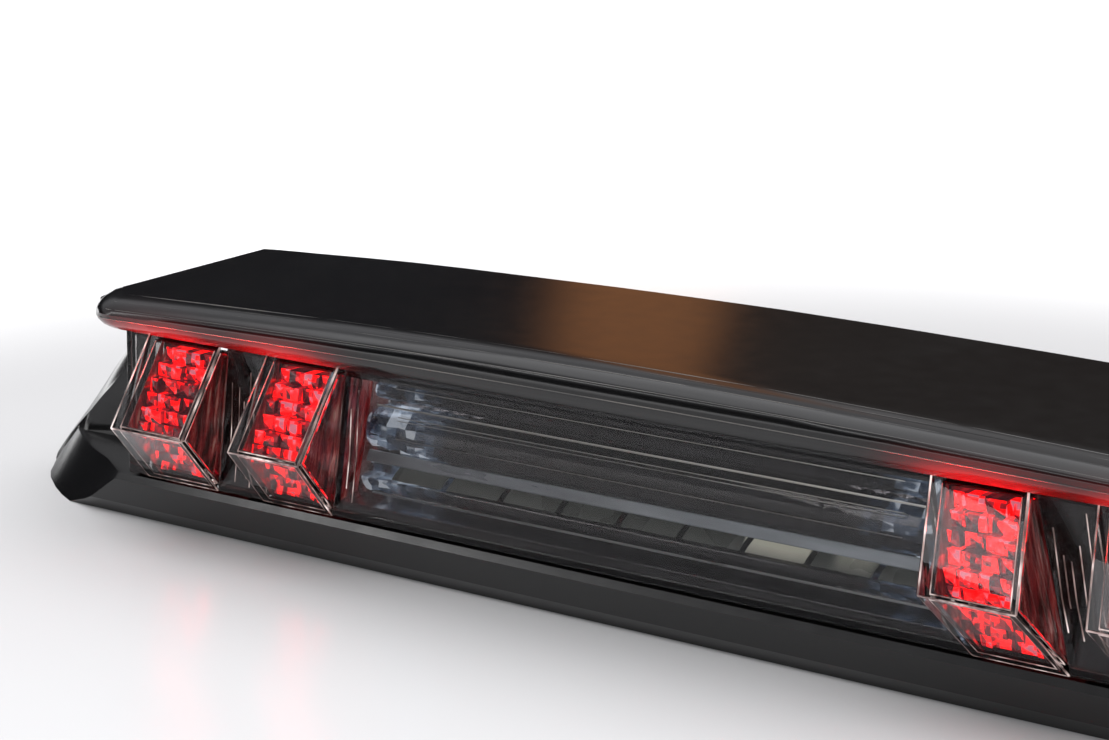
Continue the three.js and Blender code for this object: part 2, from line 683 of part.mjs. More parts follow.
// Middle |x| of each brake module, from the left end of the lamp to the right.
function moduleMiddles() {
  const half = Object.values(BOX_EDGES).map(([a, b]) => (a + b) / 2);
  return [-half[1], -half[0], half[0], half[1]];
}

// Inner surface of a lens box at a height.
function boxInsideY(z) {
  const slope = z > KNEE_Z ? BOX_FACE.y / (BOX_FACE.z - KNEE_Z) : LENS_BOTTOM.y / (LENS_BOTTOM.z - KNEE_Z);
  return BOX_INSIDE + slope * (z - KNEE_Z);
}

// A (y, z) outline parallel to the lens base, between two depths behind it.
function baseBand(d0, d1, z0 = LENS_BOTTOM.z, z1 = LENS_TOP.z) {
  return [
    [lensY(z1) + d0, z1],
    [lensY(z0) + d0, z0],
    [lensY(z0) + d1, z0],
    [lensY(z1) + d1, z1],
  ];
}

function outerLens() {
  const low = LENS_BOTTOM.z;
  const high = LENS_TOP.z;
  const inner = { low: low + LENS_WALL, high: high - LENS_WALL };
  const ends = solid(alongY(lensTrapezoid(0), -FAR, FAR));
  const core = solid(alongY(lensTrapezoid(-LENS_WALL, inner.low, inner.high), -FAR, FAR));
  const slab = common(solid(alongX(baseBand(0, LENS_WALL), -FAR, FAR)), ends);
  const around = cut(common(solid(alongX(baseBand(0, LENS_RETURN), -FAR, FAR)), ends), core);
  const outside = [
    [lensY(high) + LENS_WALL / 2, high],
    [BOX_FACE.y, high],
    [0, KNEE_Z],
    [lensY(low), low],
    [lensY(low) + LENS_WALL / 2, low],
  ];
  const inside = [
    [FAR / 8, inner.high],
    [boxInsideY(inner.high), inner.high],
    [BOX_INSIDE, KNEE_Z],
    [boxInsideY(inner.low), inner.low],
    [FAR / 8, inner.low],
  ];
  const boxes = eachBox((edges, side) => wedge(edges, side, outside));
  const shrink = ([a, b]) => [a + LENS_WALL, b - LENS_WALL];
  const cavities = eachBox((edges, side) => wedge(shrink(edges), side, inside));
  return cut(join(slab, around, ...boxes), ...cavities);
}

function innerBezel() {
  const d0 = LENS_WALL + GAP;
  const low = LENS_BOTTOM.z + d0;
  const high = LENS_TOP.z - d0;
  const plate = common(
    solid(alongX(baseBand(d0, d0 + BEZEL), -FAR, FAR)),
    solid(alongY(lensTrapezoid(-d0, low, high), -FAR, FAR)),
  );
  const window = [
    [0, low + BEZEL_RIM],
    [FAR / 4, low + BEZEL_RIM],
    [FAR / 4, high - BEZEL_RIM],
    [0, high - BEZEL_RIM],
  ];
  const shrink = ([a, b]) => [a + LENS_WALL, b - LENS_WALL];
  const windows = eachBox((edges, side) => wedge(shrink(edges), side, window));
  const middleHalf = BOX_EDGES.inner[0] + LENS_WALL - BEZEL_BAR;
  const middleWindow = solid(leaning(alongX(window, -middleHalf, middleHalf)));
  return cut(plate, middleWindow, ...windows);
}

// ---------- brake modules ----------

// Moves a module piece to its place and leans it with its lens box.
function inModule(geometry, middleX) {
  const side = Math.sign(middleX);
  return warp(geometry, (p) => {
    p.x += middleX + side * boxShift(p.z);
  });
}

// Red light guide whose front is a staircase of square pixels.
function brakeOptic(middleX) {
  const width = (2 * OPTIC_HALF) / STEP_COLUMNS;
  const bodies = [];
  for (let row = 0; row < STEP_ROWS; row++) {
    const z0 = STEP_LOW_Z + row * STEP_HEIGHT;
    const z1 = z0 + STEP_HEIGHT;
    const nearest = Math.max(boxInsideY(z0), boxInsideY(z1)) + OPTIC_CLEAR;
    for (let column = 0; column < STEP_COLUMNS; column++) {
      const x0 = -OPTIC_HALF + column * width;
      const level = (row + 2 * column) % STEP_LEVELS;
      const front = Math.min(nearest + STEP_BACK * level, OPTIC_BACK_Y - OPTIC_THINNEST);
      bodies.push(solid(inModule(box(x0, x0 + width, front, OPTIC_BACK_Y, z0, z1), middleX)));
    }
  }
  return join(...bodies);
}

function cupOutline(inset) {
  const low = CUP_LOW_Z + inset;
  const high = CUP_HIGH_Z - inset;
  const front = LENS_WALL + BEZEL + 2 * GAP;
  return [
    [lensY(high) + front - inset, high],
    [lensY(low) + front - inset, low],
    [BOARD_FRONT_Y - GAP - inset, low],
    [BOARD_FRONT_Y - GAP - inset, high],
  ];
}

function brakeReflector(middleX) {
  const outer = solid(inModule(alongX(cupOutline(0), -CUP_HALF, CUP_HALF), middleX));
  const half = CUP_HALF - CUP_WALL;
  const inner = solid(inModule(alongX(cupOutline(CUP_WALL), -half, half), middleX));
  const [slotLow, slotHigh] = [CUP_LOW_Z + SLOT_END, CUP_HIGH_Z - SLOT_END];
  const slot = solid(
    inModule(box(-LED_SLOT, LED_SLOT, OPTIC_BACK_Y, FAR / 4, slotLow, slotHigh), middleX),
  );
  return cut(outer, inner, slot);
}

function brakeBoard(middleX) {
  const board = box(-CUP_HALF, CUP_HALF, BOARD_FRONT_Y, BOARD_BACK_Y, CUP_LOW_Z, CUP_HIGH_Z);
  return solid(inModule(board, middleX));
}

function ledAt(x, z, boardFront) {
  const half = LED.side / 2;
  const back = boardFront - GAP;
  const base = solid(box(x - half, x + half, back - LED.base, back, z - half, z + half));
  const reach = LED.height - LED.base + JOINED;
  const dome = new THREE.CylinderGeometry(LED.dome, LED.dome, reach, SIDES.fine);
  return base.add(solid(dome.translate(x, back - LED.height + reach / 2, z)));
}

// ---------- cargo light ----------

function lightBar({ z, r, half }) {
  const reach = BAR_BACK_Y - BAR_FRONT_Y;
  const outline = new THREE.Shape();
  outline.absellipse(BAR_BACK_Y, z, reach, r, -Math.PI / 2, Math.PI / 2, true);
  outline.closePath();
  const straight = half - r;
  const bar = solid(alongX(outline, -straight, straight));
  const ball = new THREE.SphereGeometry(1, BALL.around, BALL.down).scale(r, reach, r);
  const front = solid(box(-FAR, FAR, 0, BAR_BACK_Y, 0, FAR));
  return bar.add(common(bothEnds(solid(ball.translate(straight, BAR_BACK_Y, z))), front));
}

// The lower bar is divided into a row of windows by shallow grooves.
function lowerBar(bar) {
  const count = 2 * Math.floor(bar.half / WINDOW_PITCH) - 1;
  const grooves = Array.from({ length: count }, (_, i) => {
    const x = (i - (count - 1) / 2) * WINDOW_PITCH;
    const deep = BAR_FRONT_Y + GROOVE.depth;
    return solid(box(x - GROOVE.half, x + GROOVE.half, 0, deep, bar.z - FAR / 8, bar.z + FAR / 8));
  });
  return cut(lightBar(bar), ...grooves);
}

function cargoReflector() {
  const front = LENS_WALL + BEZEL + 2 * GAP;
  const back = BAR_BACK_Y + GAP;
  const low = CUP_LOW_Z;
  const high = CUP_HIGH_Z;
  const outline = [
    [lensY(high) + front, high],
    [lensY(high - CUP_WALL) + front, high - CUP_WALL],
    [back, high - CUP_WALL],
    [back, low + 2 * CUP_WALL],
    [lensY(low + CUP_WALL) + front, low + CUP_WALL],
    [lensY(low) + front, low],
    [CARGO_BACK_Y, low],
    [CARGO_BACK_Y, low + CUP_WALL],
    [back + CUP_WALL, low + 3 * CUP_WALL],
    [back + CUP_WALL, high - 2 * CUP_WALL],
    [CARGO_BACK_Y, high - CUP_WALL],
    [CARGO_BACK_Y, high],
  ];
  const ledZ = BARS[1].z;
  const windows = CARGO_LED_X.map((x) =>
    solid(box(x - LED_SLOT, x + LED_SLOT, BAR_BACK_Y, FAR / 4, ledZ - LED_SLOT, ledZ + LED_SLOT)),
  );
  return cut(solid(leaning(alongX(outline, -CARGO_HALF, CARGO_HALF))), ...windows);
}

// ---------- mounting screws ----------

function washer(x) {
  const w0 = WALL + GAP;
  const ring = solid(mountCylinder(x, RECESS.z, WASHER_R, w0, w0 + WASHER, SIDES.head));
  return cut(ring, solid(mountCylinder(x, RECESS.z, SCREW_HOLE_R, w0 - PAST, w0 + WASHER + PAST)));
}

function mountingScrew(x) {
  const seat = WALL + 2 * GAP + WASHER;
  const top = seat + SCREW.rise;
  const head = solid(mountCylinder(x, RECESS.z, SCREW.head, seat, top, SIDES.head));
  const floor = seat + SCREW.floor;
  const socket = solid(mountCylinder(x, RECESS.z, SCREW.socket, floor, top + PAST, SIDES.hexagon));
  const shank = solid(mountCylinder(x, RECESS.z, SCREW.shank, -SCREW.reach, seat + PAST));
  return cut(join(head, shank), socket);
}

// ---------- assembly ----------

const lamp = new THREE.Group();

function add(name, body, colour, roughness, metalness = 0) {
  const material = new THREE.MeshStandardMaterial({ color: colour, roughness, metalness });
  const mesh = new THREE.Mesh(geometryOf(body), material);
  mesh.name = name;
  lamp.add(mesh);
}

const BLACK = 0x0b0b0c;
const RED = 0xff1010;
const SMOKE = 0x3a4048;
const CHROME = 0xb8b8bc;
const BOARD_GREEN = 0x1d4a2c;
const STEEL = 0x9a9ca0;

add("housing_shell", housingShell(), BLACK, 0.12);
add("rear_cover", rearCover(), 0x161718, 0.6);
add("perimeter_gasket", perimeterGasket(), 0x1a1a1a, 0.95);
add("outer_lens", outerLens(), SMOKE, 0.05);
add("inner_bezel", innerBezel(), 0x1c1d1f, 0.3);

moduleMiddles().forEach((middleX, index) => {
  const number = index + 1;
  add(`brake_optic_${number}`, brakeOptic(middleX), RED, 0.15);
  add(`brake_reflector_${number}`, brakeReflector(middleX), CHROME, 0.2, 1);
  add(`brake_led_board_${number}`, brakeBoard(middleX), BOARD_GREEN, 0.6);
  BRAKE_LED_Z.forEach((z, row) => {
    const x = middleX + Math.sign(middleX) * boxShift(z);
    add(`brake_led_${number}_${row + 1}`, ledAt(x, z, BOARD_FRONT_Y), 0xe8c060, 0.4);
  });
});

add("cargo_reflector", cargoReflector(), CHROME, 0.2, 1);
add("light_bar_upper", lightBar(BARS[0]), SMOKE, 0.1);
add("light_bar_middle", lightBar(BARS[1]), SMOKE, 0.1);
add("light_bar_lower", lowerBar(BARS[2]), SMOKE, 0.1);
add(
  "cargo_led_board",
  solid(box(-CARGO_BOARD_HALF, CARGO_BOARD_HALF, BOARD_FRONT_Y, BOARD_BACK_Y, CUP_LOW_Z, CUP_HIGH_Z)),
  BOARD_GREEN,
  0.6,
);
CARGO_LED_X.forEach((x, index) => {
  add(`cargo_led_${index + 1}`, ledAt(x, BARS[1].z, BOARD_FRONT_Y), 0xe8e0b0, 0.4);
});

add("driver_board", driverBoard(), BOARD_GREEN, 0.6);
add("connector_socket", connectorSocket(), 0x202020, 0.5);
pinPlaces().forEach((x, index) => {
  const pin = mountBox(x, SOCKET.z, PIN.side, PIN.side, -PIN.out, PIN.inside);
  add(`connector_pin_${index + 1}`, solid(pin), 0xc8b070, 0.3, 1);
});
add("vent_plug", ventPlug(), 0x303030, 0.8);

coverScrewPlaces().forEach(([x, z], index) => {
  add(`cover_screw_${index + 1}`, coverScrew(x, z), STEEL, 0.35, 1);
});
for (const [side, sign] of [["left", -1], ["right", 1]]) {
  add(`mounting_washer_${side}`, washer(sign * RECESS.x), STEEL, 0.35, 1);
  add(`mounting_screw_${side}`, mountingScrew(sign * RECESS.x), STEEL, 0.35, 1);
}

// The origin is the bottom centre of the assembly's box.
const bounds = new THREE.Box3().setFromObject(lamp);
lamp.position.set(0, -(bounds.min.y + bounds.max.y) / 2, -bounds.min.z);

export default lamp;
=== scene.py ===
import json
import math
import random

import bmesh
import bpy
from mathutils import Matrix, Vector

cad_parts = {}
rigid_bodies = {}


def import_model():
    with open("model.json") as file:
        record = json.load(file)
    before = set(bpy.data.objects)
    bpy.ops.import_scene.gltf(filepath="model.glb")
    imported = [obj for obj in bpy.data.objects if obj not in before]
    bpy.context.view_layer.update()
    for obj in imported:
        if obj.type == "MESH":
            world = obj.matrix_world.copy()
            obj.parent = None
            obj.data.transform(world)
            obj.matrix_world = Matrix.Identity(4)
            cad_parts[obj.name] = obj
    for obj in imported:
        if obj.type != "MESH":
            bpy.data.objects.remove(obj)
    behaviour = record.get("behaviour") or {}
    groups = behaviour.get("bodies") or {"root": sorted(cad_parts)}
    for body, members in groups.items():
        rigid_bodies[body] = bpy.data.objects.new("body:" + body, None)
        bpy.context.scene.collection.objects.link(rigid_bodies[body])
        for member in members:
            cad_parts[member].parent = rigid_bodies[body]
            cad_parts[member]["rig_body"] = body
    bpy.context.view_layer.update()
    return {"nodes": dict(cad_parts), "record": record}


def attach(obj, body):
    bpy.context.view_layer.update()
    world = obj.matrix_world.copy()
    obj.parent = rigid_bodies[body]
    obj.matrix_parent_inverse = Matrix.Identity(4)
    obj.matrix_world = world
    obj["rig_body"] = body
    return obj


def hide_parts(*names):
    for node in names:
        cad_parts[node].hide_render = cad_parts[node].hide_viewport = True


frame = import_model()
NODES = frame["nodes"]
MM = 0.001


# ---------- dimensions of the lamp, in millimetres ----------
# x runs along the lamp, y runs back from the knee of the lens boxes, z runs up.

FRONT = -45.85588 * MM  # the knee's place in the frame of the assembly, in metres
KNEE, LENS_LOW, LENS_HIGH = 31.8, 13.6, 56.4  # heights of the knee and of the lens's edges
BOX_HIGH_Y, BOX_LOW_Y = 12.0, 18.6  # a box's face at the lens's upper and lower edge
BOX_EDGES = ((89.3, 113.7), (129.6, 155.7))  # |x| of the boxes' sides at the knee
BOX_SHIFT_HIGH, BOX_SHIFT_LOW = -4.0, 4.5  # lean of a box's upper and lower edge away from x = 0
BOX_INSIDE = 2.7  # the inside of the knee lies this far behind its outside
BASE_HIGH_Y, BASE_LEAN = 15.0, 3.6  # the lens between the boxes: its upper edge, and its lean
MODULES = (-142.65, -101.5, 101.5, 142.65)
OPTIC_BACK = 29.8
BAR_FRONT, BAR_BACK = 22.05, 28.95

VISOR_HALF, VISOR_STRAIGHT, VISOR_CORNER = 162.0, 158.0, 13.0
CROWN, CROWN_FROM, CROWN_RISE = 3.6, 57.0, 7.4
NOSE = ((18, 65.2), (3.5, 66.2), (0.6, 60.2), (8, 57.1))  # control points of its curve, (y, z)

LEAN = math.atan(0.69)  # of the mounting plane
FOOT_Y = 45.0
RECESS_X, RECESS_V = 181.5, 17.8 / math.cos(LEAN)
SCREW_TIP, SCREW_SEAT, SCREW_TOP = -16.0, 4.8, 9.4
SCREW_FLOOR = SCREW_SEAT + 1.4


# ---------- materials ----------

class Nodes:
    """Short calls for the nodes of one tree."""

    def __init__(self, tree):
        self.tree = tree

    def put(self, socket, value):
        """Links a socket to another one, or gives it a value."""
        if isinstance(value, bpy.types.NodeSocket):
            self.tree.links.new(value, socket)
        elif socket.type == "RGBA" and len(value) == 3:
            socket.default_value = (*value, 1.0)
        else:
            socket.default_value = value

    def add(self, kind, settings=None, **inputs):
        """Adds a node. An input is given by its name, or by its number as i0, i1 and so on."""
        node = self.tree.nodes.new(kind)
        for key, value in (settings or {}).items():
            setattr(node, key, value)
        for key, value in inputs.items():
            numbered = key[0] == "i" and key[1:].isdigit()
            self.put(node.inputs[int(key[1:]) if numbered else key.replace("_", " ")], value)
        return node

    def math(self, operation, *values):
        inputs = {f"i{index}": value for index, value in enumerate(values)}
        return self.add("ShaderNodeMath", {"operation": operation}, **inputs).outputs[0]

    def times(self, first, *others):
        for value in others:
            first = self.math("MULTIPLY", first, value)
        return first

    def dot(self, vector, direction):
        node = self.add("ShaderNodeVectorMath", {"operation": "DOT_PRODUCT"}, i0=vector, i1=direction)
        return node.outputs["Value"]

    def xyz(self, vector):
        parts = self.add("ShaderNodeSeparateXYZ", Vector=vector).outputs
        return parts["X"], parts["Y"], parts["Z"]

    def ramp(self, fac, *stops):
        """A colour for each value of fac, from (position, colour) pairs."""
        node = self.add("ShaderNodeValToRGB", Fac=fac)
        band = node.color_ramp
        while len(band.elements) < len(stops):
            band.elements.new(0.5)
        for element, (position, colour) in zip(band.elements, stops):
            element.position = position
            element.color = (*colour, 1.0)
        return node.outputs["Color"]

    def between(self, fac, low, high):
        """low where fac is 0, and high where it is 1."""
        return self.add("ShaderNodeMapRange", Value=fac, To_Min=low, To_Max=high).outputs["Result"]

    def line(self, value, low, high):
        """0 at low and 1 at high."""
        return self.add("ShaderNodeMapRange", Value=value, From_Min=low, From_Max=high).outputs["Result"]

    def rise(self, value, low, high):
        """0 before low, 1 past high, and a smooth step between them."""
        settings = {"interpolation_type": "SMOOTHSTEP"}
        node = self.add("ShaderNodeMapRange", settings, Value=value, From_Min=low, From_Max=high)
        return node.outputs["Result"]

    def mix(self, fac, one, two, blend="MIX"):
        """Mixes two colours."""
        settings = {"data_type": "RGBA", "blend_type": blend}
        return self.add("ShaderNodeMix", settings, i0=fac, i6=one, i7=two).outputs[2]


class Paint(Nodes):
    """A principled material, laid out in the object's own coordinates."""

    def __init__(self, name, **values):
        self.material = bpy.data.materials.new(name)
        self.material.use_nodes = True
        super().__init__(self.material.node_tree)
        self.shader = self.tree.nodes["Principled BSDF"]
        self.place = self.add("ShaderNodeTexCoord").outputs["Object"]
        for key, value in values.items():
            self.set(key.replace("_", " "), value)

    def set(self, socket, value):
        self.put(self.shader.inputs[socket], value)
        return self

    def colour(self, fac, *stops):
        return self.set("Base Color", self.ramp(fac, *stops))

    def rough(self, fac, low, high):
        return self.set("Roughness", self.between(fac, low, high))

    def glow(self, strength, fac, *stops):
        self.set("Emission Color", self.ramp(fac, *stops))
        return self.set("Emission Strength", strength)

    def stretched(self, scale):
        return self.add("ShaderNodeMapping", Vector=self.place, Scale=scale).outputs["Vector"]

    def noise(self, scale, detail=2.0, at=None):
        node = self.add("ShaderNodeTexNoise", Vector=at or self.place, Scale=scale, Detail=detail)
        return node.outputs["Fac"]

    def cells(self, size, shift=(0.0, 0.0, 0.0)):
        """A random value for each cell of a grid."""
        moved = self.add("ShaderNodeMapping", Vector=self.place, Location=shift).outputs["Vector"]
        cell = self.add("ShaderNodeVectorMath", {"operation": "SNAP"}, i0=moved, i1=size)
        return self.add("ShaderNodeTexWhiteNoise", Vector=cell.outputs["Vector"]).outputs["Value"]

    def bump(self, height, distance, strength=1.0):
        node = self.add("ShaderNodeBump", Height=height, Distance=distance, Strength=strength)
        return self.set("Normal", node.outputs["Normal"])


def gloss_black():
    """Polished plastic of the housing, with a painted red glow on the visor over the brake modules, standing
    in for their light.
    """
    paint = Paint("gloss_black", Metallic=0.0, Specular_IOR_Level=0.5)
    paint.colour(paint.noise(9.0, 3.0), (0.3, (0.0045, 0.0045, 0.005)), (0.7, (0.007, 0.0068, 0.0068)))
    paint.rough(paint.noise(160.0, 4.0), 0.1, 0.2)
    x, y, z = paint.xyz(paint.place)
    from_middle = paint.math("ABSOLUTE", x)
    away = [
        paint.math("ABSOLUTE", paint.math("SUBTRACT", from_middle, module)) for module in (0.0985, 0.1385)
    ]
    # painted red glow: emission on the visor's underside over each brake module
    painted_red_glow = paint.times(
        paint.rise(paint.math("MINIMUM", *away), 0.027, 0.001),
        paint.rise(y, -0.024, -0.034),
        paint.rise(z, 0.050, 0.0575),
        paint.rise(z, 0.0665, 0.0575),
    )
    paint.glow(0.8, painted_red_glow, (0.0, (0.0, 0.0, 0.0)), (0.4, (0.035, 0.001, 0.001)), (1.0, (0.30, 0.004, 0.006)))
    return paint.bump(paint.noise(420.0, 2.0), 0.00002, 0.25).material


def ridge_sheen():
    """Fine ridges along the visor; their crests carry a painted sheen, lighter in colour and faintly
    glowing.
    """
    paint = Paint("ridge_sheen", Coat_Weight=0.5)
    # painted sheen: a lighter colour and a faint glow along the ridges stand in for highlight lines on the
    # visor's nose
    painted_crest_sheen = paint.noise(60.0, 4.0, at=paint.stretched((0.5, 4.0, 4.0)))
    paint.colour(painted_crest_sheen, (0.3, (0.02, 0.02, 0.02)), (0.7, (0.09, 0.082, 0.075)))
    paint.rough(painted_crest_sheen, 0.25, 0.45)
    paint.glow(1.0, painted_crest_sheen, (0.3, (0.012, 0.012, 0.012)), (0.7, (0.055, 0.05, 0.045)))
    return paint.material


def matte_black():
    paint = Paint("matte_black")
    grain = paint.noise(1600.0, 3.0)
    paint.colour(paint.noise(30.0), (0.3, (0.012, 0.012, 0.013)), (0.7, (0.02, 0.02, 0.021)))
    paint.rough(grain, 0.42, 0.62)
    return paint.bump(grain, 0.00008, 0.5).material


def cover_plastic():
    """Grained grey-black plastic of the pieces at the back."""
    paint = Paint("cover_plastic")
    grain = paint.noise(900.0, 4.0)
    paint.colour(paint.noise(22.0, 3.0), (0.3, (0.035, 0.036, 0.038)), (0.7, (0.055, 0.056, 0.058)))
    paint.rough(grain, 0.38, 0.6)
    return paint.bump(grain, 0.0001, 0.6).material


def foam():
    paint = Paint("gasket_foam", Roughness=0.95)
    cells = paint.add("ShaderNodeTexVoronoi", Vector=paint.place, Scale=1500.0).outputs["Distance"]
    paint.colour(cells, (0.1, (0.006, 0.006, 0.006)), (0.6, (0.028, 0.028, 0.029)))
    return paint.bump(cells, 0.0002, 0.7).material


def clear_lens():
    paint = Paint("smoked_lens", Transmission_Weight=1.0, IOR=1.5, Specular_Tint=(0.3, 0.3, 0.31))
    paint.colour(paint.noise(25.0), (0.3, (0.56, 0.545, 0.54)), (0.7, (0.64, 0.63, 0.64)))
    paint.rough(paint.noise(60.0, 3.0), 0.0, 0.01)
    return paint.bump(paint.noise(18.0, 1.0), 0.0002, 0.02).material


def lens_edge():
    """Polished corners of the lens with a painted highlight: a light colour and a streaked glow from dark
    red to near white.
    """
    paint = Paint("lens_edge", Coat_Weight=1.0, Coat_Roughness=0.05, Transmission_Weight=0.35, IOR=1.5)
    streak = paint.noise(110.0, 3.0, at=paint.stretched((2.0, 2.0, 1.0)))
    paint.colour(streak, (0.3, (0.30, 0.2, 0.19)), (0.7, (0.85, 0.78, 0.76)))
    paint.rough(streak, 0.1, 0.3)
    # painted highlight: streaked emission along the corners and ridges of the lens
    paint.glow(0.8, streak, (0.38, (0.02, 0.008, 0.007)), (0.52, (0.3, 0.22, 0.2)), (0.68, (1.0, 0.9, 0.87)))
    return paint.material


def crystal():
    """Clear at the rods' ends, where single facets carry a painted sparkle, and darker and opaque towards
    their middle as painted shade.
    """
    paint = Paint("clear_optic", IOR=1.5)
    from_middle = paint.math("ABSOLUTE", paint.xyz(paint.place)[0])
    wander = paint.between(paint.noise(50.0), -0.008, 0.008)
    clear = paint.rise(paint.math("ADD", from_middle, wander), 0.044, 0.076)
    # painted shade: the middle of each rod is dark and opaque, in place of the dark seen through the clear
    # rod
    paint.colour(clear, (0.0, (0.008, 0.009, 0.010)), (0.3, (0.03, 0.034, 0.04)), (1.0, (0.16, 0.20, 0.26)))
    paint.set("Transmission Weight", paint.line(clear, 0.0, 0.35))
    paint.rough(paint.noise(200.0), 0.0, 0.03)
    # painted sparkle: a glow per facet cell towards the rods' ends stands in for the reflector's light in
    # the facets
    sparkle = paint.cells((0.0031, 1.0, 0.0021))
    spread = paint.noise(230.0, 1.0, at=paint.stretched((1.0, 1.0, 2.0)))
    paint.glow(
        0.7,
        paint.times(sparkle, clear, paint.between(spread, 0.5, 1.6)),
        (0.42, (0.0, 0.0, 0.0)),
        (0.55, (0.015, 0.022, 0.035)),
        (0.80, (0.06, 0.085, 0.12)),
        (0.93, (0.5, 0.55, 0.6)),
    )
    return paint.material


def red_optic():
    """Light guide lit from behind: each cell glows by chance, and each facet the more it faces one fixed
    direction, which is painted shading; the brightest level turns pinkish as a painted highlight.
    """
    paint = Paint("red_optic", Coat_Weight=1.0, Coat_Roughness=0.03)
    foot = (0.0, 0.0, -0.01785)
    shade = paint.cells((0.0028, 1.0, 0.003822), foot)
    fine = paint.cells((0.0014, 1.0, 0.0013), foot)
    mottle = paint.noise(420.0, 1.0)
    normal = paint.add("ShaderNodeNewGeometry").outputs["True Normal"]
    # painted shading: a facet glows brighter the more it faces this fixed direction, up and towards the
    # front; facets turned away stay dark
    facet = paint.rise(paint.dot(normal, (0.35, -0.8, 0.48)), 0.45, 0.98)
    level = paint.times(
        paint.math("ADD", paint.times(shade, 0.62), paint.times(facet, 0.42)),
        paint.between(mottle, 0.75, 1.2),
        paint.between(fine, 0.62, 1.25),
    )
    paint.colour(level, (0.2, (0.06, 0.0, 0.001)), (0.5, (0.3, 0.0, 0.003)), (0.9, (0.5, 0.05, 0.07)))
    paint.rough(mottle, 0.05, 0.2)
    # the top stop turns the glow pinkish, a painted highlight on the brightest facets
    paint.glow(
        3.6,
        level,
        (0.22, (0.012, 0.0, 0.001)),
        (0.38, (0.06, 0.001, 0.003)),
        (0.50, (0.22, 0.004, 0.008)),
        (0.56, (1.0, 0.0, 0.0)),
        (0.84, (1.0, 0.0, 0.0)),
        (0.92, (0.26, 0.06, 0.085)),
    )
    return paint.material


def cup_silver():
    """Fluted cup around a lit module: silver with a painted reflection of the module's red light, as a
    reddish tint and a red glow streaked along the flutes.
    """
    paint = Paint("cup_silver", Metallic=0.8)
    flutes = paint.noise(5.0, 3.0, at=paint.stretched((110.0, 110.0, 1.0)))
    # reddish tint of the silver: painted reflection of the module's red light
    paint.colour(flutes, (0.3, (0.22, 0.12, 0.11)), (0.7, (0.5, 0.42, 0.4)))
    paint.rough(flutes, 0.1, 0.3)
    # painted reflection: red glow streaked along the flutes
    paint.glow(
        0.75,
        flutes,
        (0.38, (0.02, 0.004, 0.003)),
        (0.5, (0.11, 0.004, 0.006)),
        (0.6, (0.24, 0.01, 0.012)),
        (0.72, (0.30, 0.17, 0.13)),
    )
    return paint.material


def window_panel():
    """Dim panels with a painted glow; one of them carries a painted highlight, brightest at its upper edge,
    and the next one a fainter one.
    """
    paint = Paint("window_panel", Metallic=0.6)
    x, _, z = paint.xyz(paint.place)
    # painted highlight on one panel, and a fainter one on the next, growing towards the upper edge
    lit = paint.times(paint.rise(x, 0.0289, 0.0299), paint.rise(x, 0.0480, 0.0470))
    faint = paint.times(paint.rise(x, 0.0524, 0.0564), paint.rise(x, 0.0684, 0.0624), 0.45)
    upper = paint.between(paint.line(z, 0.0252, 0.0288), 0.22, 1.05)
    bright = paint.times(paint.math("ADD", lit, faint), upper, 0.9)
    cloud = paint.noise(45.0, 2.0)
    level = paint.times(paint.math("ADD", bright, 0.22), paint.between(cloud, 0.6, 1.3))
    paint.colour(level, (0.2, (0.06, 0.065, 0.06)), (0.9, (0.5, 0.5, 0.45)))
    paint.rough(cloud, 0.18, 0.4)
    # painted glow of the panels, which are no lamp
    paint.glow(
        1.0, level, (0.1, (0.012, 0.014, 0.012)), (0.3, (0.04, 0.043, 0.037)), (0.95, (0.36, 0.355, 0.29))
    )
    return paint.material


def light_trim():
    """Satin strips between the rods with a painted glow: its tone changes with height as painted
    reflections, brightest at the top line, and it is dimmer towards the left end as painted shade.
    """
    paint = Paint("light_trim", Metallic=0.5)
    streak = paint.noise(30.0, 3.0, at=paint.stretched((1.0, 6.0, 6.0)))
    paint.colour(streak, (0.3, (0.22, 0.23, 0.25)), (0.7, (0.4, 0.41, 0.43)))
    paint.rough(streak, 0.2, 0.4)
    x, _, z = paint.xyz(paint.place)
    painted_height_glow = paint.ramp(
        paint.line(z, 0.0207, 0.0455),
        (0.0, (0.10, 0.10, 0.09)),
        (0.45, (0.085, 0.105, 0.118)),
        (0.62, (0.10, 0.085, 0.06)),
        (0.80, (0.12, 0.115, 0.10)),
        (0.97, (0.42, 0.41, 0.37)),
    )
    streaks = paint.ramp(streak, (0.3, (0.55, 0.55, 0.55)), (0.7, (1.0, 1.0, 1.0)))
    # painted reflections: the glow's tone is set per height, and its strength grows from the left end to the
    # right
    paint.set("Emission Color", paint.mix(1.0, painted_height_glow, streaks, "MULTIPLY"))
    paint.set("Emission Strength", paint.between(paint.line(x, -0.070, 0.040), 0.35, 1.1))
    return paint.material


def silver():
    paint = Paint("reflector_silver", Metallic=1.0)
    flutes = paint.noise(7.0, 2.0, at=paint.stretched((60.0, 1.0, 1.0)))
    paint.colour(flutes, (0.3, (0.26, 0.25, 0.25)), (0.7, (0.55, 0.55, 0.58)))
    paint.rough(flutes, 0.08, 0.22)
    return paint.bump(paint.noise(120.0, 2.0), 0.0001, 0.3).material


def board_green():
    paint = Paint("board_green", Coat_Weight=0.3)
    copper = paint.add("ShaderNodeTexBrick", Vector=paint.place, Scale=120.0).outputs["Fac"]
    paint.colour(copper, (0.0, (0.012, 0.07, 0.025)), (1.0, (0.03, 0.16, 0.06)))
    paint.rough(paint.noise(400.0), 0.3, 0.5)
    return paint.bump(copper, 0.00005).material


def metal(name, low, high, rough):
    paint = Paint(name, Metallic=1.0)
    brushed = paint.noise(900.0, 3.0)
    paint.colour(brushed, (0.3, low), (0.7, high))
    paint.rough(brushed, rough, rough + 0.18)
    return paint.bump(brushed, 0.00002).material


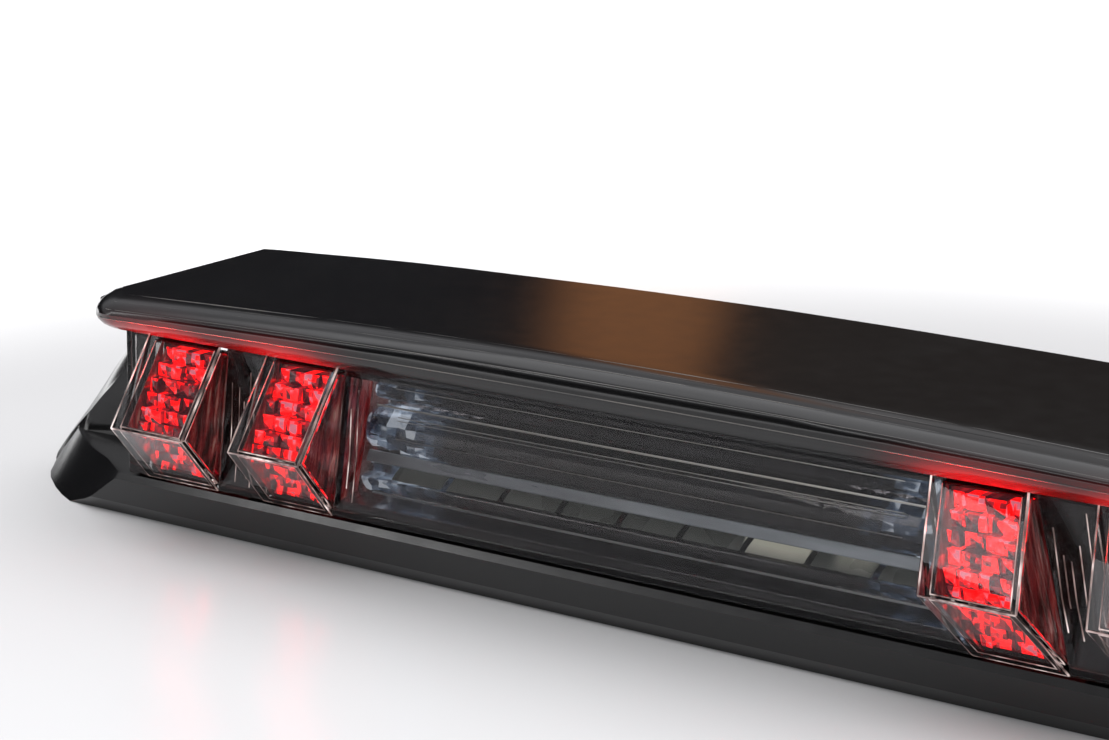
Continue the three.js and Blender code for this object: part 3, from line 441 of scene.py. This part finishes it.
def epoxy():
    paint = Paint("led_amber", Coat_Weight=0.5)
    paint.colour(paint.noise(900.0), (0.3, (0.75, 0.5, 0.12)), (0.7, (0.95, 0.8, 0.35)))
    paint.rough(paint.noise(500.0), 0.15, 0.3)
    return paint.material


MATERIALS = {
    "gloss_black": gloss_black(),
    "ridge_sheen": ridge_sheen(),
    "matte_black": matte_black(),
    "cover_plastic": cover_plastic(),
    "gasket_rubber": foam(),
    "smoked_lens": clear_lens(),
    "lens_edge": lens_edge(),
    "light_trim": light_trim(),
    "window_panel": window_panel(),
    "cup_silver": cup_silver(),
    "clear_optic": crystal(),
    "red_optic": red_optic(),
    "reflector_silver": silver(),
    "board_green": board_green(),
    "led_amber": epoxy(),
    "pin_brass": metal("pin_brass", (0.5, 0.36, 0.15), (0.82, 0.66, 0.36), 0.2),
    "screw_steel": metal("screw_steel", (0.32, 0.32, 0.34), (0.62, 0.62, 0.64), 0.22),
}
SLOT_OF = {part["node"]: part["material_slot"] for part in frame["record"]["subparts"]}


def dress(obj, slot, material=None):
    obj.data.materials.clear()
    obj.data.materials.append(MATERIALS[material or slot])


for node, slot in SLOT_OF.items():
    dress(NODES[node], slot)


# ---------- meshes ----------

def at(x, y, z):
    """A point of the lamp, given in millimetres."""
    return Vector((x * MM, y * MM + FRONT, z * MM))


def apply_modifiers(obj):
    depsgraph = bpy.context.evaluated_depsgraph_get()
    made = bpy.data.meshes.new_from_object(obj.evaluated_get(depsgraph))
    obj.modifiers.clear()
    obj.data = made


def smooth(obj, angle):
    """Shades a piece smooth, with sharp edges past an angle in degrees."""
    for polygon in obj.data.polygons:
        polygon.use_smooth = True
    obj.data.set_sharp_from_angle(angle=math.radians(angle))


def finish_piece(obj, nodes, bevel=0.0, segments=1, angle=60, material=None):
    """Rounds the edges of a piece that are sharper than the angle, and puts it in place of its nodes."""
    smooth(obj, 180.0 if bevel else angle)
    if bevel:
        rounded = obj.modifiers.new("edges", "BEVEL")
        rounded.width = bevel * MM
        rounded.segments = segments
        rounded.limit_method = "ANGLE"
        rounded.angle_limit = math.radians(angle)
        rounded.use_clamp_overlap = True
        weighted = obj.modifiers.new("normals", "WEIGHTED_NORMAL")
        weighted.mode = "FACE_AREA_WITH_ANGLE"
        weighted.weight = 90
        apply_modifiers(obj)
    dress(obj, SLOT_OF[nodes[0]], material)
    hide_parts(*nodes)
    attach(obj, NODES[nodes[0]]["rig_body"])


def new_object(name, made):
    mesh = bpy.data.meshes.new(name)
    bmesh.ops.recalc_face_normals(made, faces=made.faces)
    made.to_mesh(mesh)
    made.free()
    obj = bpy.data.objects.new(name, mesh)
    bpy.context.scene.collection.objects.link(obj)
    return obj


def clone(name, node, bevel, segments=3, material=None):
    """A copy of a CAD node with its edges rounded, which stands for it."""
    made = bmesh.new()
    made.from_mesh(NODES[node].data)
    bmesh.ops.remove_doubles(made, verts=made.verts, dist=2e-6)
    bmesh.ops.dissolve_limit(made, angle_limit=math.radians(0.6), verts=made.verts, edges=made.edges)
    finish_piece(new_object(name, made), [node], bevel, segments, 28.0, material)


def loft(made, rings):
    """Skins a list of rings that have the same number of points, and closes its ends."""
    rows = [[made.verts.new(point) for point in ring] for ring in rings]
    for one, two in zip(rows, rows[1:]):
        for i in range(len(one)):
            j = (i + 1) % len(one)
            made.faces.new((one[i], one[j], two[j], two[i]))
    made.faces.new(rows[0])
    made.faces.new(rows[-1])


def tube(made, points, radius, sides=8):
    """A rod along a line of points."""
    turns = [2 * math.pi * k / sides for k in range(sides)]
    rings = []
    for index, point in enumerate(points):
        before = points[max(0, index - 1)]
        after = points[min(len(points) - 1, index + 1)]
        along = (after - before).normalized()
        one = along.orthogonal().normalized()
        two = along.cross(one)
        rings.append([point + (one * math.cos(t) + two * math.sin(t)) * radius * MM for t in turns])
    loft(made, rings)


# ---------- housing, cover, gasket ----------

RIDGES = ((0.10, 0.16, 163), (0.19, 0.12, 160), (0.30, 0.16, 164), (0.47, 0.12, 161), (0.68, 0.14, 163))
RIDGE_Y, RIDGE_Z = 0.05, -0.15  # they are sunk into the nose


def nose_point(t, x):
    """A point of the visor's nose; its crown is highest at the middle of the lamp."""
    row = [Vector(point) for point in NOSE]
    while len(row) > 1:
        row = [a.lerp(b, t) for a, b in zip(row, row[1:])]
    y, z = row[0]
    upward = min(1.0, max(0.0, (z - CROWN_FROM) / CROWN_RISE))
    crown = CROWN * max(0.0, 1 - (x / VISOR_HALF) ** 2) * upward
    over = min(VISOR_CORNER, max(0.0, abs(x) - VISOR_STRAIGHT))
    corner = VISOR_CORNER - math.sqrt(VISOR_CORNER ** 2 - over ** 2)
    return at(x, y + corner + RIDGE_Y, z + crown + RIDGE_Z)


def lip_ridges():
    """Fine ridges that run along the nose of the visor."""
    made = bmesh.new()
    for t, radius, half in RIDGES:
        line = [nose_point(t, half * math.sin(math.pi / 2 * (k / 14 - 1))) for k in range(29)]
        tube(made, line, radius, 6)
    finish_piece(new_object("lip_ridges", made), ["housing_shell"], material="ridge_sheen")


clone("housing", "housing_shell", 0.7)
clone("cover", "rear_cover", 0.4, 2, "cover_plastic")
lip_ridges()
clone("gasket", "perimeter_gasket", 0.8, 2)
clone("socket", "connector_socket", 0.3, 2)
clone("bezel", "inner_bezel", 0.25, 2)
clone("lens", "outer_lens", 0.5)


# ---------- rear: ribs of the cover, screws, vent and pins ----------

RIB_HALF, RIB_BACK, RIB_FRONT = 0.5, -1.1, 0.6
SHANK, HEAD, SOCKET = 2.95, 6.0, 3.2  # radii of the mounting screws
THREAD_ROOT, THREAD_DEPTH, THREAD_TAPER = 2.45, 0.5, 1.6


def on_mount(u, v, w):
    """A point on the leaning mounting plane: u along the lamp, v up the plane, w in front of it."""
    y = FOOT_Y + v * math.sin(LEAN) - w * math.cos(LEAN)
    return at(u, y, v * math.cos(LEAN) + w * math.sin(LEAN))


def rib(made, u0, u1, v0, v1):
    corners = ((u0, v0), (u1, v0), (u1, v1), (u0, v1))
    loft(made, [[on_mount(u, v, w) for u, v in corners] for w in (RIB_BACK, RIB_FRONT)])


def cover_ribs():
    """Stiffening ribs on the back of the rear cover; two of the upright ones are left out."""
    made = bmesh.new()
    for v in (24.0, 56.5):
        rib(made, -145, 145, v - RIB_HALF, v + RIB_HALF)
    for u in range(-140, 141, 20):
        if u not in (-60, 0):
            rib(made, u - RIB_HALF, u + RIB_HALF, 18.5, 62.0)
    finish_piece(new_object("cover_ribs", made), ["rear_cover"], 0.2, 2, 30, "cover_plastic")


def hexagon(radius, turn):
    """Distance from the middle of a hexagon to its outline; the radius is that of its corners."""
    part = (turn + math.pi / 6) % (math.pi / 3) - math.pi / 6
    return radius * math.cos(math.pi / 6) / math.cos(part)


def thread(w):
    """Radii around the shank at w; the crest climbs one millimetre in each turn."""
    taper = 0.72 + 0.28 * min(1.0, (w - SCREW_TIP) / THREAD_TAPER)

    def radius_at(t):
        phase = (w - t / (2 * math.pi)) % 1.0
        return (THREAD_ROOT + THREAD_DEPTH * abs(2 * phase - 1)) * taper
    return radius_at


def mounting_screw(side, sign):
    """Socket-head screw with a cut thread."""
    turns = [2 * math.pi * k / 24 for k in range(24)]
    rings = []

    def ring(w, radius_at):
        around = [(radius_at(t) * math.cos(t), radius_at(t) * math.sin(t)) for t in turns]
        rings.append([on_mount(sign * RECESS_X + u, RECESS_V + v, w) for u, v in around])

    for k in range(113):
        w = SCREW_TIP + k * 0.125
        ring(w, thread(w))
    for w, radius in (
        (-1.8, SHANK),
        (SCREW_SEAT, SHANK),
        (SCREW_SEAT, HEAD - 0.3),
        (SCREW_SEAT + 0.3, HEAD),
        (SCREW_TOP - 0.9, HEAD),
        (SCREW_TOP - 0.25, HEAD - 0.25),
        (SCREW_TOP, HEAD - 0.7),
        (SCREW_TOP, SOCKET + 0.5),
    ):
        ring(w, lambda t, r=radius: r)
    for w in (SCREW_TOP - 0.5, SCREW_FLOOR):
        ring(w, lambda t: hexagon(SOCKET, t))
    made = bmesh.new()
    loft(made, rings)
    finish_piece(new_object(f"screw_{side}", made), [f"mounting_screw_{side}"], angle=32)


cover_ribs()
for side, sign in (("left", -1), ("right", 1)):
    mounting_screw(side, sign)
    clone(f"washer_{side}", f"mounting_washer_{side}", 0.3, 2)
for number in range(1, 5):
    clone(f"screw_of_cover_{number}", f"cover_screw_{number}", 0.15, 2)
    clone(f"pin_{number}", f"connector_pin_{number}", 0.25, 2)
clone("vent", "vent_plug", 0.5)


# ---------- lens ----------

def box_shift(z):
    """How far the sides of a box lean away from x = 0 at a height, from their place at the knee."""
    if z > KNEE:
        return BOX_SHIFT_HIGH * (z - KNEE) / (LENS_HIGH - KNEE)
    return BOX_SHIFT_LOW * (KNEE - z) / (KNEE - LENS_LOW)


def box_front(z):
    """How far the face of a box lies behind its knee."""
    if z > KNEE:
        return BOX_HIGH_Y * (z - KNEE) / (LENS_HIGH - KNEE)
    return BOX_LOW_Y * (KNEE - z) / (KNEE - LENS_LOW)


def box_inside(z):
    return BOX_INSIDE + box_front(z)


def lens_base(z):
    """The face of the lens between its boxes."""
    return BASE_HIGH_Y + BASE_LEAN * (LENS_HIGH - z) / (LENS_HIGH - LENS_LOW)


def lens_corners():
    """Corners of the lens boxes, outside and inside of their walls, made bright by the painted highlight of
    lens_edge.
    """
    made = bmesh.new()
    for side in (-1, 1):
        for edges in BOX_EDGES:
            for inset, radius in ((0.34, 0.24), (2.45, 0.15)):
                heights = (LENS_HIGH - inset, KNEE, LENS_LOW + inset)
                one, two = [
                    [at(side * (x + box_shift(z)), box_front(z) + 1.1 * inset, z) for z in heights]
                    for x in (edges[0] + inset, edges[1] - inset)
                ]
                for line in (one, two, (one[1], two[1]), (one[2], two[2])):
                    tube(made, line, radius)
    finish_piece(new_object("lens_corners", made), ["outer_lens"], material="lens_edge")


def lens_streaks():
    """Fine upright ridges of the lens between its boxes, with the painted highlight of lens_edge."""
    chance = random.Random(7)
    made = bmesh.new()
    for side in (-1, 1):
        for start, stop in ((115.5, 128.5), (84.5, 88.0)):
            x = start
            while x < stop:
                low, high = chance.uniform(15.5, 30), chance.uniform(40, 54.5)
                depth = chance.uniform(0.5, 1.7)
                line = [
                    at(side * (x + 0.85 * box_shift(z)), lens_base(z) + depth, z) for z in (low, KNEE, high)
                ]
                tube(made, line, chance.uniform(0.12, 0.22), 6)
                x += chance.uniform(1.4, 3.2)
    finish_piece(new_object("lens_streaks", made), ["outer_lens"], material="lens_edge")


lens_corners()
lens_streaks()


# ---------- brake modules ----------

ROWS = 9
OPTIC_LOW, OPTIC_HEIGHT, ROW_GAP = 17.85, 34.4, 0.12
FLUTES, FLUTE_WIDTH = 9, 1.9


def in_module(middle, x, y, z):
    """A point of a brake module, which leans with its lens box."""
    return at(middle + x + math.copysign(1, middle) * box_shift(z), y, z)


def block(made, middle, x0, x1, z0, z1, front, tilt, peak):
    """One block of the light guide, with a faceted front."""
    corners = [(x0, z0), (x1, z0), (x1, z1), (x0, z1)]
    fronts = [made.verts.new(in_module(middle, x, front + t, z)) for (x, z), t in zip(corners, tilt)]
    backs = [made.verts.new(in_module(middle, x, OPTIC_BACK, z)) for x, z in corners]
    px, pz = peak
    tip = made.verts.new(in_module(middle, x0 + (x1 - x0) * px, front - 0.35, z0 + (z1 - z0) * pz))
    for i in range(4):
        j = (i + 1) % 4
        made.faces.new((fronts[i], fronts[j], tip))
        made.faces.new((fronts[j], fronts[i], backs[i], backs[j]))
    made.faces.new(backs[::-1])


def brake_optic(number, middle):
    """The light guide of a module: rows of blocks, each with its own depth."""
    chance = random.Random(40 + number)
    made = bmesh.new()
    height = OPTIC_HEIGHT / ROWS
    for row in range(ROWS):
        z0 = OPTIC_LOW + row * height
        z1 = z0 + height - ROW_GAP
        nearest = max(box_inside(z0), box_inside(z1)) + 1.2
        zig = 0.7 * (row % 2) - 0.35
        columns = ((-8.35, -5.1 + zig), (-4.7 + zig, 0.3 + zig), (0.45 + zig, 4.9 - zig), (5.1 - zig, 8.35))
        for column, (x0, x1) in enumerate(columns):
            front = nearest + 0.5 * ((row + 2 * column) % 3) + chance.uniform(0, 0.4)
            front = min(front, OPTIC_BACK - 4)
            tilt = [chance.uniform(0.0, 0.6) for _ in range(4)]
            peak = (chance.uniform(0.2, 0.8), chance.uniform(0.3, 0.7))
            block(made, middle, x0, x1, z0, z1, front, tilt, peak)
    finish_piece(new_object(f"optic_{number}", made), [f"brake_optic_{number}"], 0.1, 1, 20)


def optic_fins(number, middle):
    """Thin leaves of the light guide that line the sides of its box."""
    made = bmesh.new()
    for side in (-1, 1):
        for x, inward, thick in ((9.75, 1.6, 0.35), (9.1, 5.5, 0.3)):
            rings = []
            for z in (15.6, 19.5, 23.5, 27.5, KNEE, 37.0, 43.0, 49.0, 54.0):
                near = box_inside(z) + inward
                far = max(near + 0.4, lens_base(z))
                outline = ((x, near), (x, far), (x - thick, far), (x - thick, near))
                rings.append([in_module(middle, side * a, b, z) for a, b in outline])
            loft(made, rings)
    piece = new_object(f"optic_fins_{number}", made)
    finish_piece(piece, [f"brake_optic_{number}"], 0.08, 1, 30, "cup_silver")


def cup_liner(number, middle):
    """Upright flutes on the side walls of the cup."""
    made = bmesh.new()
    for side in (-1, 1):
        for step in range(FLUTES):
            back = 30.6 - FLUTE_WIDTH * step
            rings = []
            for z in [17.6 + 3.48 * k for k in range(11)]:
                limit = max(box_inside(z) + 4.2, 31 - FLUTE_WIDTH * FLUTES)
                near, far = max(back - FLUTE_WIDTH, limit), max(back, limit + 0.05)
                outline = ((9.5, far), (8.75, (near + far) / 2), (9.5, near))
                rings.append([in_module(middle, side * x, y, z) for x, y in outline])
            loft(made, rings)
    piece = new_object(f"cup_liner_{number}", made)
    finish_piece(piece, [f"brake_reflector_{number}"], angle=10, material="cup_silver")


for number, middle in enumerate(MODULES, 1):
    brake_optic(number, middle)
    optic_fins(number, middle)
    clone(f"cup_{number}", f"brake_reflector_{number}", 0.2, 2, "cup_silver")
    cup_liner(number, middle)


# ---------- cargo light ----------

FACET, FACETS = 3.1, 9  # length and number of the facets at each end of a rod
WINDOW_PITCH, WINDOW_GAP, WINDOW_LEAN, WINDOW_SHIFT, WINDOW_END = 18.0, 1.9, 1.6, 2.4, 80


def light_bar(name, node, z, half, profile):
    """A crystal rod, cut like a gem before its domed ends.

    The profile runs over the front: shares of the rod's depth, and heights from z.
    """
    reach = max(abs(v) for _, v in profile)
    straight = half - reach
    core = [(0.2 * k * (straight - FACETS * FACET - 1), 1.0, False) for k in range(6)]
    gem = [(straight - FACET * k, 1.0, True) for k in range(FACETS, -1, -1)]
    bends = [math.radians(20 * k) for k in range(1, 5)]
    dome = [(straight + reach * math.sin(bend), math.cos(bend), False) for bend in bends]
    right = core[1:] + gem + dome
    stations = [(-x, size, cut) for x, size, cut in reversed(right)] + [core[0]] + right
    rings = []
    for index, (x, size, cut) in enumerate(stations):
        ring = []
        for j, (u, v) in enumerate(profile):
            inset = 0.11 * ((index + j) % 2) if cut and 0 < j < len(profile) - 1 else 0.0
            shrink = size * (1 - inset)
            ring.append(at(x, BAR_BACK - (BAR_BACK - BAR_FRONT) * u * shrink, z + v * shrink))
        rings.append(ring)
    made = bmesh.new()
    loft(made, rings)
    finish_piece(new_object(name, made), [node], 0.12, 2, 9)


def rail(made, outline, half):
    """A strip along the lamp with the given (y, z) outline."""
    loft(made, [[at(half * (k / 12 - 1), y, z) for y, z in outline] for k in range(25)])


def cargo_rails():
    """Strips of the reflector between the rods, and fine lines on the rods' crests, made bright by a painted
    glow.
    """
    made = bmesh.new()
    rail(made, [(22.0, 45.2), (21.8, 45.4), (22.0, 45.6), (22.6, 45.55), (22.6, 45.3)], 80)
    rail(made, [(22.2, 29.9), (22.0, 30.2), (23.2, 32.6), (23.9, 32.6), (23.4, 29.9)], 84)
    rail(made, [(24.2, 20.7), (24.0, 20.9), (24.2, 21.1), (24.8, 21.1), (24.8, 20.7)], 84)
    for y, z, radius in ((21.85, 37.2, 0.13), (22.75, 41.8, 0.12), (22.95, 42.7, 0.13), (22.4, 50.4, 0.1)):
        tube(made, [at(74 * (k / 12 - 1), y, z) for k in range(25)], radius, 6)
    finish_piece(new_object("cargo_rails", made), ["cargo_reflector"], 0.06, 1, 15, "light_trim")


def window_row():
    """The row of small panels over the lower rod, with slanted gaps between them."""
    chance = random.Random(11)
    made = bmesh.new()
    for k in range(-4, 5):
        middle = k * WINDOW_PITCH + WINDOW_SHIFT
        half = (WINDOW_PITCH - WINDOW_GAP) / 2
        x0, x1 = max(middle - half, -WINDOW_END), min(middle + half, WINDOW_END)
        tilt = chance.uniform(-0.25, 0.25)
        rings = []
        for x in (x0, (x0 + x1) / 2, x1):
            front = [
                (x, 23.9 + tilt, 24.9),
                (x + 0.4 * WINDOW_LEAN, 25.0 + tilt / 2, 26.8),
                (x + WINDOW_LEAN, 27.2 - tilt, 29.2),
            ]
            back = [(a, y + 0.5, z - 0.1) for a, y, z in reversed(front)]
            rings.append([at(*point) for point in front + back])
        loft(made, rings)
    finish_piece(new_object("cargo_windows", made), ["cargo_reflector"], 0.08, 1, 15, "window_panel")


def cargo_mirror():
    """Grooved mirror behind the rods; towards its ends it is broken up into facets."""
    made = bmesh.new()
    grid = []
    for i in range(61):
        x = -87 + 2.9 * i
        facets = max(0.0, min(1.0, (abs(x) - 52) / 14))
        column = []
        for j in range(27):
            z = 20.0 + 1.15 * j
            groove = 0.45 * (j % 2)
            facet = 0.75 * ((i + j // 3) % 2)
            y = 29.3 + groove * (1 - facets) + facet * facets
            column.append(made.verts.new(at(x + math.copysign(1, x) * box_shift(z) * 0.9, y, z)))
        grid.append(column)
    for a, b in zip(grid, grid[1:]):
        for j in range(len(a) - 1):
            made.faces.new((a[j], b[j], b[j + 1], a[j + 1]))
    obj = new_object("cargo_mirror", made)
    thick = obj.modifiers.new("thick", "SOLIDIFY")
    thick.thickness = 0.3 * MM
    thick.offset = 0
    apply_modifiers(obj)
    finish_piece(obj, ["cargo_reflector"], angle=8)


light_bar("bar_upper", "light_bar_upper", 49.1, 83, (
    (0, 3), (0.55, 2.7), (0.9, 1.6), (1, 0), (0.9, -1.7), (0.62, -2.75), (0, -2.9),
))
light_bar("bar_middle", "light_bar_middle", 37.2, 88, (
    (0, 7.0), (0.45, 6.8), (0.78, 5.3), (0.95, 2.9), (1, 0.25), (1, -0.25), (0.95, -2.6), (0.86, -3.7),
    (0.2, -3.8), (0.1, -7.7), (0.0, -7.7),
))
light_bar("bar_lower", "light_bar_lower", 24.4, 89, (
    (0, 4.7), (0.1, 4.7), (0.16, 1.2), (0.96, 0.9), (1, 0.4), (0.93, -1.2), (0.74, -2.9), (0, -3.0),
))
cargo_rails()
window_row()
clone("cargo_tray", "cargo_reflector", 0.2, 2)
cargo_mirror()


# ---------- stage ----------

WHITE, RED = (1.0, 1.0, 1.0), (1.0, 0.0, 0.0)
HEADING = math.radians(36.083)  # of the camera


def floor_pale():
    """Glossy near the lamp; further out it glows, so that its edge meets the white behind it."""
    paint = Paint("floor_pale", Emission_Color=WHITE)
    paint.colour(paint.noise(0.8), (0.3, (0.70, 0.70, 0.703)), (0.7, (0.73, 0.73, 0.732)))
    paint.rough(paint.noise(3.0), 0.14, 0.2)
    distance = paint.add("ShaderNodeVectorMath", {"operation": "LENGTH"}, i0=paint.place).outputs["Value"]
    away = paint.rise(distance, 0.30, 0.62)
    paint.set("Specular IOR Level", paint.between(away, 0.45, 0.0))
    paint.set("Emission Strength", paint.between(away, 0.0, 1.0))
    return paint.material


def floor():
    made = bmesh.new()
    bmesh.ops.create_grid(made, x_segments=8, y_segments=8, size=6.0)
    obj = new_object("floor", made)
    obj.data.materials.append(floor_pale())


def area_light(name, place, aim, size, power, colour=WHITE, seen_in_gloss=True):
    data = bpy.data.lights.new(name, "AREA")
    data.shape = "RECTANGLE"
    data.size, data.size_y = size
    data.energy = power
    data.color = colour
    obj = bpy.data.objects.new(name, data)
    obj.location = place
    obj.rotation_euler = (Vector(aim) - Vector(place)).to_track_quat("-Z", "Y").to_euler()
    obj.visible_glossy = seen_in_gloss
    obj.visible_transmission = seen_in_gloss
    bpy.context.scene.collection.objects.link(obj)
    return data


def surroundings():
    """White to the camera; to everything else a dark room with a bright ceiling and a warm panel."""
    world = bpy.data.worlds.new("studio")
    world.use_nodes = True
    bpy.context.scene.world = world
    room = Nodes(world.node_tree)
    direction = room.add("ShaderNodeTexCoord").outputs["Generated"]
    ahead = room.dot(direction, (-math.sin(HEADING), math.cos(HEADING), 0.0))
    aside = room.dot(direction, (math.cos(HEADING), math.sin(HEADING), 0.0))
    turn = room.math("ARCTAN2", aside, ahead)
    up = room.xyz(direction)[2]
    haze = room.mix(room.rise(up, 0.30, 0.42), (0.012, 0.012, 0.014), (0.46, 0.46, 0.48))
    ceiling = room.mix(room.rise(up, 0.68, 0.76), haze, (1.8, 1.8, 1.85))
    glimmer = room.mix(room.rise(turn, 0.05, 0.07), (0.0, 0.0, 0.0), (0.022, 0.014, 0.008))
    dark = room.add("ShaderNodeVectorMath", {"operation": "ADD"}, i0=ceiling, i1=glimmer).outputs[0]
    panel = room.times(
        room.rise(turn, -0.014, 0.012),
        room.rise(turn, 0.068, 0.05),
        room.rise(up, 0.10, 0.14),
        room.rise(up, 0.6, 0.4),
    )
    lit = room.mix(panel, dark, (0.46, 0.19, 0.075))
    seen = room.add("ShaderNodeLightPath").outputs["Is Camera Ray"]
    background = room.tree.nodes["Background"]
    room.put(background.inputs["Color"], room.mix(seen, lit, WHITE))
    background.inputs["Strength"].default_value = 1.0


def photo_camera():
    camera = bpy.data.objects.new("camera", bpy.data.cameras.new("camera"))
    camera.data.lens = 92.84
    camera.data.sensor_width = 36.0
    camera.data.clip_start = 0.01
    camera.location = (0.37656, -0.57406, 0.22583)
    camera.rotation_euler = (math.radians(76.484), 0.0, HEADING)
    bpy.context.scene.collection.objects.link(camera)
    bpy.context.scene.camera = camera


floor()
area_light("overhead", (0.0, 0.3, 1.6), (0.0, 0.3, 0.0), (4.0, 4.0), 33.0, seen_in_gloss=False)
area_light("strip_front", (-0.9, -1.4, 1.0), (0.0, 0.0, 0.05), (1.2, 0.08), 1.6)
area_light("strip_left", (-1.2, -0.5, 0.5), (0.0, 0.0, 0.05), (0.08, 0.8), 0.8)
for number, middle in enumerate(MODULES, 1):
    place, aim = at(middle, 2, 46), at(middle, 7, 60)
    glow = area_light(f"glow_{number}", place, aim, (0.028, 0.012), 0.16, RED, False)
    glow.spread = math.radians(120)
surroundings()
photo_camera()
bpy.context.scene.view_settings.view_transform = "Standard"
